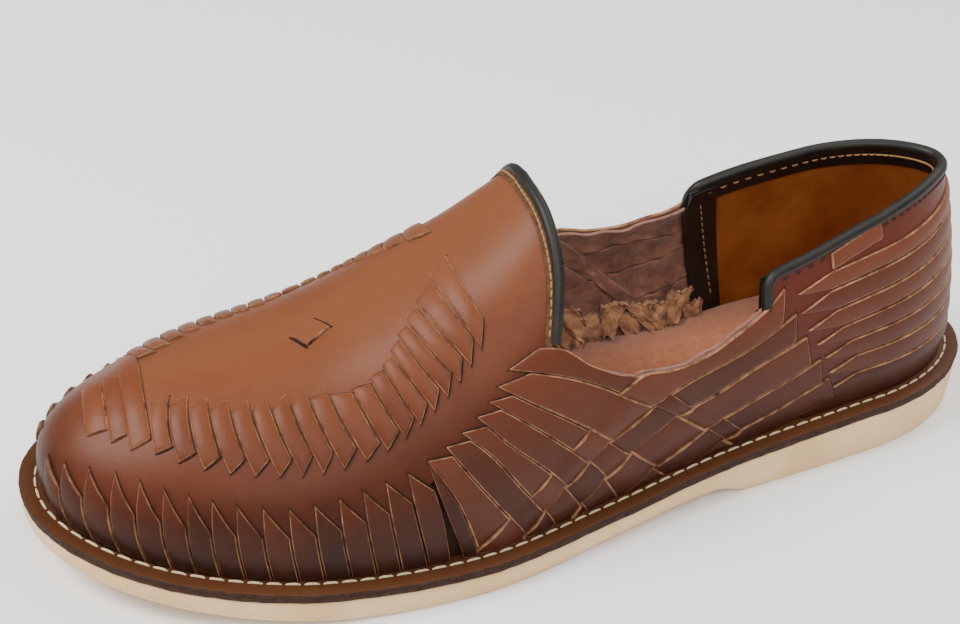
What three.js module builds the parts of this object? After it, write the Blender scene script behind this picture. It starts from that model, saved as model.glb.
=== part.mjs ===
// Left huarache shoe: woven leather slip-on with a low cut quarter, a welt and a crepe sole.
// Millimetres. +X points to the toe, +Y to the wearer's left (the outer side of the foot), +Z up.
// The last is built from x = 0 at the back of the heel; the group then moves the origin to the
// bottom centre of the shoe's box.
import * as THREE from 'three';

// ---- driving sizes ----
const LENGTH = 298; // sole, heel to toe
const HEEL_ROUND = 46; // length over which the sole edge rounds off at the heel
const TOE_ROUND = 72; // and at the toe
const HEEL_POWER = 2.0; // 2 is an ellipse
const TOE_POWER = 2.1;

const WALL = 2.2; // woven leather and its backing, one wall
const FEATHER_INSET = 5.8; // from the welt's edge to the outside of the upper's foot
const GAP = 0.3; // clearance between pieces that meet

const CREPE_BEVEL = 0.9;
const CREPE_LEAN = { foot: 0.4, top: 0.2 }; // the crepe's side, in from the welt's edge
const MIDSOLE_THICK = 1.7;
const WELT_THICK = 1.2;
const INSOLE_THICK = 2.5;
const LAYERS = 3.5; // from the crepe's top to the foot of the upper
const INSOLE_PLAY = 0.8; // between the insole's edge and the wall
const INSOLE_INSET = FEATHER_INSET + WALL + INSOLE_PLAY;

const BREAST = { back: 93, front: 107 }; // the crepe heel's front slopes up over this stretch
const ARCH = { height: 4.2, middle: 142, ground: 178 }; // hollow in front of the heel
const TOE_SPRING = { start: 200, height: 13.9, power: 1.8 };

const BULGE_TOP = 0.8; // the swell dies out at this part of the height
const SPINE = { heel: 34, toe: 253.5 }; // ends of the ridge line, along X
const BINDING_WIDTH = 3.2; // bead on the edge of the leather
const BINDING_PROUD = 0.7; // how far it stands off the wall on either side
const BEAD_LIFT = 0.012; // its ends start this far, in v, above the quarter's edge

// Sections of the last. lateral and medial: half widths of the sole; deck: top of the crepe;
// crown: Y of the ridge; ridge: its height; full: fullness of the section (2 is an ellipse);
// bulge: how far the lateral wall swells past its foot; inner: the same on the medial side.
const STATION_COLUMNS = ['x', 'lateral', 'medial', 'deck', 'crown', 'ridge', 'full', 'bulge', 'inner'];
const STATIONS = [
  [0, 33.0, 34.0, 13.9, 0.0, 92.0, 1.6, 0.0, 0.0],
  [34, 34.5, 34.5, 14.1, 0.0, 111.0, 1.68, 0.4, 0.8],
  [68, 38.0, 33.0, 13.4, 0.5, 107.0, 1.8, 1.3, 2.2],
  [104, 41.5, 30.6, 10.9, 0.5, 103.0, 1.95, 1.5, 3.2],
  [145, 49.0, 34.8, 7.8, -1.5, 101.0, 2.15, 1.5, 2.8],
  [180, 55.4, 43.5, 6.8, -2.0, 78.0, 2.25, 1.5, 2.0],
  [215, 54.8, 51.5, 7.7, -1.5, 59.5, 2.28, 1.4, 1.4],
  [250, 49.8, 51.0, 10.6, -2.5, 53.5, 2.3, 1.3, 1.3],
  [280, 46.2, 48.5, 15.4, -4.0, 51.0, 2.3, 1.3, 1.3],
  [298, 43.5, 46.0, 19.2, -4.0, 54.0, 2.3, 1.3, 1.3],
].map((row) => Object.fromEntries(row.map((value, i) => [STATION_COLUMNS[i], value])));

// Height of the collar's bound edge over the heel, by station.
const COLLAR = [
  { x: 0, lateral: 82.5, medial: 82.5 },
  { x: 15, lateral: 83.0, medial: 82.0 },
  { x: 30, lateral: 81.3, medial: 81.0 },
  { x: 52, lateral: 77.0, medial: 79.3 },
  { x: 77, lateral: 71.8, medial: 75.5 },
  { x: 91, lateral: 69.3, medial: 72.0 },
];
// Height of the low raw edge along the quarter, between the heel counter and the vamp.
const QUARTER = [
  { x: 91, lateral: 59.0, medial: 63.5 },
  { x: 97, lateral: 56.4, medial: 62.0 },
  { x: 103, lateral: 52.6, medial: 60.2 },
  { x: 112, lateral: 50.2, medial: 58.8 },
  { x: 125, lateral: 49.8, medial: 58.6 },
  { x: 136, lateral: 51.8, medial: 60.0 },
  { x: 147, lateral: 57.0, medial: 63.8 },
  { x: 160, lateral: 65.8, medial: 70.5 },
];
// Where the vamp's bound edge crosses each level of the upper, as a station; level 1 is the ridge.
const VAMP_EDGE = [
  { level: 0.44, station: 160.2 },
  { level: 0.6, station: 157.6 },
  { level: 0.8, station: 159.2 },
  { level: 1, station: 164.0 },
];
const VAMP_FOOT = 160; // station where the vamp's edge meets the quarter's
const COUNTER_FRONT = 91;

// ---- mesh density ----
const HEEL_COLUMNS = 13;
const QUARTER_COLUMNS = 9;
const VAMP_COLUMNS = 17;
const FOOT_ROWS = 7;
const COUNTER_ROWS = 5;
const VAMP_ROWS = 10;
const SOLE_COLUMNS = 30;
const BISECTIONS = 24;

// ---- curves ----
const mix = (a, b, w) => a + (b - a) * w;
const clamp01 = (w) => Math.min(1, Math.max(0, w));
const ease = (w) => clamp01(w) * clamp01(w) * (3 - 2 * clamp01(w));

// Smooth curve through a table's column: cubic Hermite, each slope weighted by the spans beside it.
function through(rows, name, key = 'x') {
  const last = rows.length - 1;
  const span = (i) => rows[i + 1][key] - rows[i][key];
  const rise = (i) => (rows[i + 1][name] - rows[i][name]) / span(i);
  const slope = rows.map((row, i) => {
    if (i === 0) return rise(0);
    if (i === last) return rise(last - 1);
    return (span(i) * rise(i - 1) + span(i - 1) * rise(i)) / (span(i) + span(i - 1));
  });
  return (position) => {
    const held = Math.min(rows[last][key], Math.max(rows[0][key], position));
    let i = 0;
    while (i < last - 1 && held > rows[i + 1][key]) i += 1;
    const w = (held - rows[i][key]) / span(i);
    const start = (1 + 2 * w) * (1 - w) ** 2 * rows[i][name];
    const leave = w * (1 - w) ** 2 * span(i) * slope[i];
    const arrive = w * w * (w - 1) * span(i) * slope[i + 1];
    return start + leave + arrive + w * w * (3 - 2 * w) * rows[i + 1][name];
  };
}
const lateral = through(STATIONS, 'lateral');
const medial = through(STATIONS, 'medial');
const deck = through(STATIONS, 'deck');
const crown = through(STATIONS, 'crown');
const ridge = through(STATIONS, 'ridge');
const full = through(STATIONS, 'full');
const lateralBulge = through(STATIONS, 'bulge');
const medialBulge = through(STATIONS, 'inner');
const collarHeight = { lateral: through(COLLAR, 'lateral'), medial: through(COLLAR, 'medial') };
const quarterHeight = { lateral: through(QUARTER, 'lateral'), medial: through(QUARTER, 'medial') };
const vampStation = through(VAMP_EDGE, 'station', 'level');

// The sole's edge runs from t = 0 at the heel, along the lateral side, to 0.5 at the toe and back.
const station = (t) => (LENGTH * (1 - Math.cos(2 * Math.PI * t))) / 2;
const turnAt = (x) => Math.acos(1 - (2 * x) / LENGTH) / (2 * Math.PI);

function rounding(x) {
  if (x < HEEL_ROUND) return (1 - ((HEEL_ROUND - x) / HEEL_ROUND) ** HEEL_POWER) ** (1 / HEEL_POWER);
  const w = clamp01((x - LENGTH + TOE_ROUND) / TOE_ROUND);
  return (1 - w ** TOE_POWER) ** (1 / TOE_POWER);
}

function soleEdge(t) {
  const turn = t - Math.floor(t);
  const x = station(turn);
  const middle = (lateral(x) - medial(x)) / 2;
  const half = ((lateral(x) + medial(x)) / 2) * rounding(x);
  return new THREE.Vector2(x, middle + (turn <= 0.5 ? half : -half));
}

const STEP = 1e-4; // of a turn, for the edge's direction
function outward(t) {
  const run = soleEdge(t + STEP).sub(soleEdge(t - STEP)).normalize();
  return new THREE.Vector2(-run.y, run.x);
}
const edge = (t, inset) => soleEdge(t).addScaledVector(outward(t), -inset);

// The upper's face: v = 0 at its foot, 1 on the ridge; off moves it out from the leather's outside.
function last(t, v, off) {
  const foot = edge(t, FEATHER_INSET - off);
  const x = station(t);
  const spine = mix(SPINE.heel, SPINE.toe, x / LENGTH);
  if (v >= 1) return new THREE.Vector3(spine, crown(spine), ridge(spine) + off);
  const angle = (v * Math.PI) / 2;
  const inWay = 1 - Math.cos(angle) ** (2 / full(x));
  const upWay = Math.sin(angle) ** (2 / full(x));
  const bulge = t <= 0.5 ? lateralBulge(x) : medialBulge(x);
  const swell = bulge * Math.sin(Math.PI * clamp01(upWay / BULGE_TOP));
  const place = foot.clone().lerp(new THREE.Vector2(spine, crown(spine)), inWay);
  place.addScaledVector(outward(t), swell);
  const base = deck(foot.x) + LAYERS;
  return new THREE.Vector3(place.x, place.y, base + (ridge(place.x) + off - base) * upWay);
}

// Where the outside of the upper reaches a height, as v.
function riseTo(t, height) {
  let low = 0;
  let high = 1;
  for (let i = 0; i < BISECTIONS; i += 1) {
    const v = (low + high) / 2;
    if (last(t, v, 0).z < height) low = v;
    else high = v;
  }
  return low;
}

// ---- closed meshes ----
function solid(points, faces) {
  const geometry = new THREE.BufferGeometry();
  geometry.setAttribute('position', new THREE.Float32BufferAttribute(points.flatMap((p) => p.toArray()), 3));
  geometry.setIndex(faces.flat());
  return geometry;
}

// A wall over a sheet of quads. Each corner is [t, v]; the outside is off = outer, the inside
// off = inner, and every free border of the sheet is closed by a rim.
function wall(quads, outer, inner) {
  const names = new Map();
  const points = [];
  const index = (corner, off) => {
    const p = last(corner[0], corner[1], off);
    const name = [p.x, p.y, p.z, off].map((n) => n.toFixed(3)).join();
    if (!names.has(name)) {
      names.set(name, points.length);
      points.push(p);
    }
    return names.get(name);
  };
  const faces = [];
  const borders = new Map();
  for (const quad of quads) {
    const out = quad.map((corner) => index(corner, outer));
    const ins = quad.map((corner) => index(corner, inner));
    faces.push([out[0], out[1], out[2]], [out[0], out[2], out[3]]);
    faces.push([ins[0], ins[2], ins[1]], [ins[0], ins[3], ins[2]]);
    out.forEach((a, i) => {
      const b = out[(i + 1) % 4];
      if (borders.has(`${b}-${a}`)) borders.delete(`${b}-${a}`);
      else borders.set(`${a}-${b}`, [a, b, ins[i], ins[(i + 1) % 4]]);
    });
  }
  for (const [a, b, c, d] of borders.values()) faces.push([b, a, c], [b, c, d]);
  const kept = faces.filter((face) => new Set(face).size === 3);
  return solid(points, kept);
}

// Quads over a grid of [t, v] corners, rows from the foot up, columns in the sense of rising t.
function sheet(columns, rows, corner) {
  const quads = [];
  for (let i = 0; i < columns; i += 1) {
    for (let j = 0; j < rows; j += 1) {
      quads.push([corner(i, j), corner(i, j + 1), corner(i + 1, j + 1), corner(i + 1, j)]);
    }
  }
  return quads;
}

// Quads of both sides of the shoe. quadsOf(side) gives one side's, always with t below 0.5; the
// medial ones are put at 1 - t and turned to face out again.
function bothSides(quadsOf) {
  const across = ([t, v]) => [(1 - t) % 1, v];
  const medialQuads = quadsOf('medial').map((quad) => quad.map(across).reverse());
  return [...quadsOf('lateral'), ...medialQuads];
}

// A slab lofted up through rings round the sole, each { inset, height(x) }, flat across.
function slab(rings, breaks = []) {
  const even = Array.from({ length: SOLE_COLUMNS + 1 }, (_, i) => i / SOLE_COLUMNS / 2);
  const side = [...even, ...breaks.map(turnAt)].sort((a, b) => a - b);
  const turns = [...side, ...side.slice(1, -1).reverse().map((t) => 1 - t)];
  const count = turns.length;
  const points = rings.flatMap(({ inset, height }) => turns.map((t) => {
    const p = edge(t, inset);
    return new THREE.Vector3(p.x, p.y, height(p.x));
  }));
  const faces = [];
  for (let ring = 0; ring < rings.length - 1; ring += 1) {
    for (let i = 0; i < count; i += 1) {
      const a = ring * count + i;
      const b = ring * count + ((i + 1) % count);
      faces.push([b, a, a + count], [b, a + count, b + count]);
    }
  }
  const top = (rings.length - 1) * count;
  for (let i = 0; i < side.length - 1; i += 1) {
    const far = (count - i) % count;
    const farNext = count - i - 1;
    const cap = [[i, i + 1, farNext]];
    if (i > 0) cap.push([i, farNext, far]);
    for (const [a, b, c] of cap) {
      if (new Set([a, b, c]).size < 3) continue;
      faces.push([a, b, c]);
      faces.push([top + a, top + c, top + b]);
    }
  }
  return solid(points, faces);
}

// A ring lofted round the sole: a closed section of { inset, height(x) } corners.
function ringAround(section) {
  const columns = 2 * SOLE_COLUMNS;
  const size = section.length;
  const points = [];
  for (let i = 0; i < columns; i += 1) {
    for (const { inset, height } of section) {
      const p = edge(i / columns, inset);
      points.push(new THREE.Vector3(p.x, p.y, height(p.x)));
    }
  }
  const faces = [];
  for (let i = 0; i < columns; i += 1) {
    for (let k = 0; k < size; k += 1) {
      const a = i * size + k;
      const b = i * size + ((k + 1) % size);
      const c = ((i + 1) % columns) * size + k;
      const d = ((i + 1) % columns) * size + ((k + 1) % size);
      faces.push([a, b, d], [a, d, c]);
    }
  }
  return solid(points, faces);
}

// ---- the sole ----
function groundLine(x) {
  if (x <= BREAST.back) return 0;
  if (x <= BREAST.front) return ARCH.height * ease((x - BREAST.back) / (BREAST.front - BREAST.back));
  if (x <= ARCH.ground) return ARCH.height * ease((ARCH.ground - x) / (ARCH.ground - BREAST.front));
  const w = clamp01((x - TOE_SPRING.start) / (LENGTH - TOE_SPRING.start));
  return TOE_SPRING.height * w ** TOE_SPRING.power;
}
const over = (lift) => (x) => deck(x) + lift;

function outsole() {
  return slab([
    { inset: CREPE_BEVEL, height: groundLine },
    { inset: CREPE_LEAN.foot, height: (x) => groundLine(x) + CREPE_BEVEL },
    { inset: CREPE_LEAN.top, height: deck },
  ], [BREAST.back, BREAST.front, ARCH.middle, ARCH.ground, TOE_SPRING.start]);
}

function midsole() {
  return slab([
    { inset: CREPE_LEAN.foot, height: over(GAP) },
    { inset: CREPE_LEAN.top, height: over(GAP + MIDSOLE_THICK) },
  ]);
}

function insole() {
  const low = GAP + MIDSOLE_THICK + GAP;
  return slab([
    { inset: INSOLE_INSET, height: over(low) },
    { inset: INSOLE_INSET, height: over(low + INSOLE_THICK) },
  ]);
}

function welt() {
  const high = LAYERS - GAP / 2;
  return ringAround([
    { inset: 0, height: over(high - WELT_THICK) },
    { inset: 0, height: over(high) },
    { inset: INSOLE_INSET - GAP, height: over(high) },
    { inset: INSOLE_INSET - GAP, height: over(high - WELT_THICK) },
  ]);
}

// ---- the upper ----
const counterTurn = turnAt(COUNTER_FRONT);
const vampTurn = turnAt(VAMP_FOOT);
// A length along the sole's side as a part of a turn, near the middle of the shoe.
const asTurn = (length) => length / (Math.PI * LENGTH);
const trim = BINDING_WIDTH + GAP;

// v at which a side of the upper reaches a height; t is given on the lateral side.
const level = (side, t, height) => riseTo(side === 'lateral' ? t : 1 - t, height);

// v of the line that the foot band of the upper ends on: the raw edge along the quarter, and the
// same level carried on under the counter and the vamp. The sides agree at heel and toe.
function bandTop(side, t) {
  const held = Math.min(vampTurn, Math.max(counterTurn, t));
  const quarter = (name) => level(name, held, quarterHeight[name](station(held)));
  const toHeel = clamp01(1 - t / counterTurn);
  const toToe = clamp01((t - vampTurn) / (0.5 - vampTurn));
  return mix(quarter(side), quarter('lateral'), Math.max(toHeel, toToe));
}
const collarTop = (side, t, drop) => level(side, t, collarHeight[side](station(t)) - drop);

// Turn of the vamp's edge at a level, forward from it by a length.
function vampEdge(v, forward) {
  const stretch = mix(1, LENGTH / (SPINE.toe - SPINE.heel), clamp01(v));
  return turnAt(vampStation(v)) + asTurn(forward) * stretch;
}

const heelEnd = counterTurn - asTurn(trim);
// First column of the vamp, clear of the binding's foot on both sides.
const vampStart = Math.max(...['lateral', 'medial'].map((side) => vampEdge(bandTop(side, vampTurn), trim)));
const range = (count, from, to) => Array.from({ length: count }, (_, i) => mix(from, to, i / count));
const COLUMN_TURNS = [
  ...range(HEEL_COLUMNS, 0, heelEnd),
  ...range(QUARTER_COLUMNS, heelEnd, vampStart),
  ...range(VAMP_COLUMNS, vampStart, 0.5),
  0.5,
];

function upper() {
  const quads = bothSides((side) => {
    const foot = sheet(COLUMN_TURNS.length - 1, FOOT_ROWS, (i, j) => {
      const t = COLUMN_TURNS[i];
      return [t, (bandTop(side, t) * j) / FOOT_ROWS];
    });
    const counter = sheet(HEEL_COLUMNS, COUNTER_ROWS, (i, j) => {
      const t = COLUMN_TURNS[i];
      return [t, mix(bandTop(side, t), collarTop(side, t, trim), j / COUNTER_ROWS)];
    });
    const vamp = sheet(VAMP_COLUMNS, VAMP_ROWS, (i, j) => {
      const t = COLUMN_TURNS[HEEL_COLUMNS + QUARTER_COLUMNS + i];
      const v = mix(bandTop(side, t), 1, j / VAMP_ROWS);
      if (j === 0) return [t, v];
      return [mix(vampEdge(v, trim), 0.5, i / VAMP_COLUMNS), v];
    });
    return [...foot, ...counter, ...vamp];
  });
  return wall(quads, 0, -WALL);
}

// Bead on the vamp's edge, over the instep from one quarter to the other.
function vampBinding() {
  const quads = bothSides((side) => sheet(1, VAMP_ROWS, (i, j) => {
    const v = mix(bandTop(side, vampTurn), 1, j / VAMP_ROWS) + (j === 0 ? BEAD_LIFT : 0);
    return [vampEdge(v, i * BINDING_WIDTH), v];
  }));
  return wall(quads, BINDING_PROUD, -WALL - BINDING_PROUD);
}

// Bead on the heel counter's edge: up its front, round the heel and down on the other side.
function collarBinding() {
  const inFront = counterTurn - asTurn(BINDING_WIDTH);
  const quads = bothSides((side) => {
    const low = bandTop(side, counterTurn) + BEAD_LIFT;
    const front = sheet(1, COUNTER_ROWS, (i, j) => {
      const t = i === 0 ? inFront : counterTurn;
      const top = collarTop(side, t, i === 0 ? BINDING_WIDTH : 0);
      return [t, mix(low, top, j / COUNTER_ROWS)];
    });
    const rim = sheet(HEEL_COLUMNS, 1, (i, j) => {
      const t = (i / HEEL_COLUMNS) * (j === 0 ? inFront : counterTurn);
      return [t, collarTop(side, t, j === 0 ? BINDING_WIDTH : 0)];
    });
    return [...front, ...rim];
  });
  return wall(quads, BINDING_PROUD, -WALL - BINDING_PROUD);
}

// ---- the shoe ----
const finishes = {
  crepe: new THREE.MeshStandardMaterial({ color: 0xd2b48c, roughness: 0.85, metalness: 0 }),
  soleLeather: new THREE.MeshStandardMaterial({ color: 0x4f3424, roughness: 0.75, metalness: 0 }),
  wovenLeather: new THREE.MeshStandardMaterial({ color: 0x8c5334, roughness: 0.45, metalness: 0 }),
  insoleLeather: new THREE.MeshStandardMaterial({ color: 0xa76b4a, roughness: 0.6, metalness: 0 }),
  binding: new THREE.MeshStandardMaterial({ color: 0x2b2a26, roughness: 0.5, metalness: 0 }),
};

const shoe = new THREE.Group();
function add(name, geometry, finish) {
  const mesh = new THREE.Mesh(geometry, finish);
  mesh.name = name;
  shoe.add(mesh);
}
add('outsole', outsole(), finishes.crepe);
add('midsole', midsole(), finishes.soleLeather);
add('welt', welt(), finishes.soleLeather);
add('insole', insole(), finishes.insoleLeather);
add('upper', upper(), finishes.wovenLeather);
add('vamp_binding', vampBinding(), finishes.binding);
add('collar_binding', collarBinding(), finishes.binding);

const box = new THREE.Box3().setFromObject(shoe);
const middle = box.getCenter(new THREE.Vector3());
shoe.position.set(-middle.x, -middle.y, -box.min.z);

export default shoe;
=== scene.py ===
"""Left huarache shoe in brown woven leather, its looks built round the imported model.

Shapes are worked out in millimetres in the shoemaker's frame: x runs from the back of the heel to
the toe, y to the outer side of the foot, z up. settle() takes them into the model's frame in metres.
"""
import math
import bpy
import numpy as np
from mathutils import Matrix, Vector
from mathutils.bvhtree import BVHTree


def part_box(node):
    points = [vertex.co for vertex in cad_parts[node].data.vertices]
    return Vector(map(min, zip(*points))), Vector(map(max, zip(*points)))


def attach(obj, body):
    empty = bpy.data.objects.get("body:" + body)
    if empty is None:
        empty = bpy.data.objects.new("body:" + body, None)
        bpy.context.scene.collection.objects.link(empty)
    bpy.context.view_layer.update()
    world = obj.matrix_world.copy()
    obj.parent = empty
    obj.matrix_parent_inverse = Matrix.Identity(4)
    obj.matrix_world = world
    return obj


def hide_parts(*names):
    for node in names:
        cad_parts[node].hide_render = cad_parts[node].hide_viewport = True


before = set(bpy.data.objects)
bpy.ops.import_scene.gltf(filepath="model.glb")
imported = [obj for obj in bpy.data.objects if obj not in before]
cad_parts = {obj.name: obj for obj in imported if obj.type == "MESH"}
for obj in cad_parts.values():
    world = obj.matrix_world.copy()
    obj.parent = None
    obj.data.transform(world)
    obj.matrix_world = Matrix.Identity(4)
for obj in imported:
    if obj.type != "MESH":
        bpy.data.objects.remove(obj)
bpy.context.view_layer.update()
bpy.ops.object.select_all(action="DESELECT")

MM = 0.001
BODY = "root"

# ---------------------------------------------------------------- the last, as the part has it
LENGTH = 298.0
HEEL_ROUND = 46.0
TOE_ROUND = 72.0
HEEL_POWER = 2.0
TOE_POWER = 2.1
FEATHER_INSET = 5.8  # welt's edge to the outside of the upper's foot
LAYERS = 3.5  # crepe's top to the foot of the upper
WALL = 2.2
BULGE_TOP = 0.8
SPINE_HEEL = 34.0
SPINE_TOE = 253.5
WELT_COLUMNS = 60  # of the part's own welt, for the frame's origin
BREAST_BACK = 93.0
BREAST_FRONT = 107.0
ARCH_HEIGHT = 4.2
ARCH_GROUND = 178.0
SPRING_START = 200.0
SPRING_HEIGHT = 13.9
SPRING_POWER = 1.8

COLUMNS = ("x", "lateral", "medial", "deck", "crown", "ridge", "full", "bulge", "inner")
STATIONS = [
    (0, 33.0, 34.0, 13.9, 0.0, 92.0, 1.6, 0.0, 0.0),
    (34, 34.5, 34.5, 14.1, 0.0, 111.0, 1.68, 0.4, 0.8),
    (68, 38.0, 33.0, 13.4, 0.5, 107.0, 1.8, 1.3, 2.2),
    (104, 41.5, 30.6, 10.9, 0.5, 103.0, 1.95, 1.5, 3.2),
    (145, 49.0, 34.8, 7.8, -1.5, 101.0, 2.15, 1.5, 2.8),
    (180, 55.4, 43.5, 6.8, -2.0, 78.0, 2.25, 1.5, 2.0),
    (215, 54.8, 51.5, 7.7, -1.5, 59.5, 2.28, 1.4, 1.4),
    (250, 49.8, 51.0, 10.6, -2.5, 53.5, 2.3, 1.3, 1.3),
    (280, 46.2, 48.5, 15.4, -4.0, 51.0, 2.3, 1.3, 1.3),
    (298, 43.5, 46.0, 19.2, -4.0, 54.0, 2.3, 1.3, 1.3),
]
COLLAR = [  # station, lateral and medial height of the collar's bound edge
    (0, 82.5, 82.5),
    (15, 83.0, 82.0),
    (30, 81.3, 81.0),
    (52, 77.0, 79.3),
    (77, 71.8, 75.5),
    (91, 69.3, 72.0),
]
QUARTER = [  # station, lateral and medial height of the low raw edge
    (91, 59.0, 63.5),
    (97, 56.4, 62.0),
    (103, 52.6, 60.2),
    (112, 50.2, 58.8),
    (125, 49.8, 58.6),
    (136, 51.8, 60.0),
    (147, 57.0, 63.8),
    (160, 65.8, 70.5),
]
VAMP_EDGE = [(0.44, 160.2), (0.6, 157.6), (0.8, 159.2), (1.0, 164.0)]  # level, station
COUNTER_FRONT = 91.0
VAMP_FOOT = 160.0


def through(rows, column):
    """Smooth curve through a table's column against its first: cubic Hermite, weighted slopes."""
    table = np.array(rows, float)
    xs = table[:, 0]
    ys = table[:, column]
    span = np.diff(xs)
    rise = np.diff(ys) / span
    slope = np.empty(len(xs))
    slope[0] = rise[0]
    slope[-1] = rise[-1]
    slope[1:-1] = (span[1:] * rise[:-1] + span[:-1] * rise[1:]) / (span[1:] + span[:-1])

    def curve(position):
        held = np.clip(np.asarray(position, float), xs[0], xs[-1])
        i = np.clip(np.searchsorted(xs, held) - 1, 0, len(xs) - 2)
        w = (held - xs[i]) / span[i]
        leave = w * (1 - w) ** 2 * span[i] * slope[i]
        arrive = w * w * (w - 1) * span[i] * slope[i + 1]
        return (1 + 2 * w) * (1 - w) ** 2 * ys[i] + leave + arrive + w * w * (3 - 2 * w) * ys[i + 1]

    return curve


SECTION = {name: through(STATIONS, i) for i, name in enumerate(COLUMNS) if i}


def mix(a, b, w):
    return a + (b - a) * w


def ease(w):
    w = np.clip(w, 0, 1)
    return w * w * (3 - 2 * w)


def station(t):
    return LENGTH * (1 - np.cos(2 * np.pi * np.asarray(t, float))) / 2


def turn_at(x):
    return np.arccos(1 - 2 * np.asarray(x, float) / LENGTH) / (2 * np.pi)


def rounding(x):
    heel = (1 - np.clip((HEEL_ROUND - x) / HEEL_ROUND, 0, 1) ** HEEL_POWER) ** (1 / HEEL_POWER)
    toe = (1 - np.clip((x - LENGTH + TOE_ROUND) / TOE_ROUND, 0, 1) ** TOE_POWER) ** (1 / TOE_POWER)
    return heel * toe


def sole_edge(t):
    turn = np.mod(t, 1.0)
    x = station(turn)
    middle = (SECTION["lateral"](x) - SECTION["medial"](x)) / 2
    half = (SECTION["lateral"](x) + SECTION["medial"](x)) / 2 * rounding(x)
    return np.stack([x, middle + np.where(turn <= 0.5, half, -half)], -1)


def outward(t):
    step = 1e-4
    run = sole_edge(t + step) - sole_edge(t - step)
    run /= np.linalg.norm(run, axis=-1)[..., None]
    return np.stack([-run[..., 1], run[..., 0]], -1)


def edge(t, inset):
    return sole_edge(t) - outward(t) * np.asarray(inset, float)[..., None]


def last(t, v, off):
    """Point of the upper: t round the foot, v 0 at the foot and 1 on the ridge, off outward."""
    t, v, off = np.broadcast_arrays(np.asarray(t, float), np.asarray(v, float), np.asarray(off, float))
    foot = edge(t, FEATHER_INSET - off)
    x = station(t)
    spine = mix(SPINE_HEEL, SPINE_TOE, x / LENGTH)
    angle = np.clip(v, 0, 1) * np.pi / 2
    in_way = 1 - np.cos(angle) ** (2 / SECTION["full"](x))
    up_way = np.sin(angle) ** (2 / SECTION["full"](x))
    bulge = np.where(np.mod(t, 1.0) <= 0.5, SECTION["bulge"](x), SECTION["inner"](x))
    swell = bulge * np.sin(np.pi * np.clip(up_way / BULGE_TOP, 0, 1))
    place = foot + (np.stack([spine, SECTION["crown"](spine)], -1) - foot) * in_way[..., None]
    place = place + outward(t) * swell[..., None]
    base = SECTION["deck"](foot[..., 0]) + LAYERS
    z = base + (SECTION["ridge"](place[..., 0]) + off - base) * up_way
    return np.concatenate([place, z[..., None]], -1)


def facing(t, v):
    """Outward unit normal of the last."""
    step = 5e-4
    rise = 0.01
    along = last(t + step, v, 0) - last(t - step, v, 0)
    upward = last(t, np.clip(v + rise, 0, 1), 0) - last(t, np.clip(v - rise, 0, 1), 0)
    normal = np.cross(upward, along)
    return normal / (np.linalg.norm(normal, axis=-1)[..., None] + 1e-9)


HALVINGS = 22


def rise_to(t, height):
    """Level at which the outside of the upper reaches a height."""
    t, height = np.broadcast_arrays(np.asarray(t, float), np.asarray(height, float))
    low = np.zeros(t.shape)
    high = np.ones(t.shape)
    for _ in range(HALVINGS):
        v = (low + high) / 2
        below = last(t, v, 0)[..., 2] < height
        low = np.where(below, v, low)
        high = np.where(below, high, v)
    return low


SIDES = (("lateral", 1), ("medial", -1))


def side_turn(t, side):
    return t if side > 0 else 1 - t


def on_both_sides(count, route):
    """Routes of a row of strips, the lateral ones first; route(number, side) gives each."""
    return [route(number, side) for _, side in SIDES for number in range(count)]


COUNTER_TURN = float(turn_at(COUNTER_FRONT))
VAMP_TURN = float(turn_at(VAMP_FOOT))
vamp_station = through(VAMP_EDGE, 1)
side_column = {1: 1, -1: 2}


def collar_level(t, side, drop=0.0):
    height = through(COLLAR, side_column[side])(station(t))
    return rise_to(side_turn(t, side), height - drop)


def quarter_level(t, side):
    height = through(QUARTER, side_column[side])(station(t))
    return rise_to(side_turn(t, side), height)


TURN_MM = math.pi * LENGTH  # mm along the foot for one turn, and about how many for one level
LEVEL_MM = 90.0


def as_turn(length):
    return length / TURN_MM


def vamp_edge(v, forward=0.0):
    stretch = mix(1, LENGTH / (SPINE_TOE - SPINE_HEEL), np.clip(v, 0, 1))
    return turn_at(vamp_station(v)) + as_turn(forward) * stretch


# The model's frame: the part's welt starts from the same outline.
rim = edge(np.arange(WELT_COLUMNS) / WELT_COLUMNS, 0.0)
welt_low, welt_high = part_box("welt")
SHIFT = np.array([
    (welt_low[0] + welt_high[0]) / 2 - (rim[:, 0].min() + rim[:, 0].max()) / 2 * MM,
    (welt_low[1] + welt_high[1]) / 2 - (rim[:, 1].min() + rim[:, 1].max()) / 2 * MM,
    0.0,
])


def settle(points):
    return np.asarray(points) * MM + SHIFT


# ---------------------------------------------------------------- modelling helpers
def flat_sheet(name, columns, rows):
    """A grid primitive, one unit each way and centred."""
    bpy.ops.object.select_all(action="DESELECT")
    bpy.ops.mesh.primitive_grid_add(x_subdivisions=columns, y_subdivisions=rows, size=1)
    piece = bpy.context.object
    piece.name = name
    piece.data.name = name
    return piece


def pick(piece):
    bpy.ops.object.select_all(action="DESELECT")
    piece.select_set(True)
    bpy.context.view_layer.objects.active = piece


def corners(piece):
    flat = np.empty(len(piece.data.vertices) * 3)
    piece.data.vertices.foreach_get("co", flat)
    return flat.reshape(-1, 3)


def move_corners(piece, points):
    piece.data.vertices.foreach_set("co", np.ascontiguousarray(points, float).ravel())
    piece.data.update()


def in_edit(piece, *steps):
    """Runs operators on the whole piece in edit mode; each step is (operator, settings)."""
    pick(piece)
    bpy.ops.object.mode_set(mode="EDIT")
    bpy.ops.mesh.select_all(action="SELECT")
    for operator, settings in steps:
        operator(**settings)
    bpy.ops.object.mode_set(mode="OBJECT")


def weld(piece, reach=0.01 * MM):
    in_edit(piece, (bpy.ops.mesh.remove_doubles, {"threshold": reach}))


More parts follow.
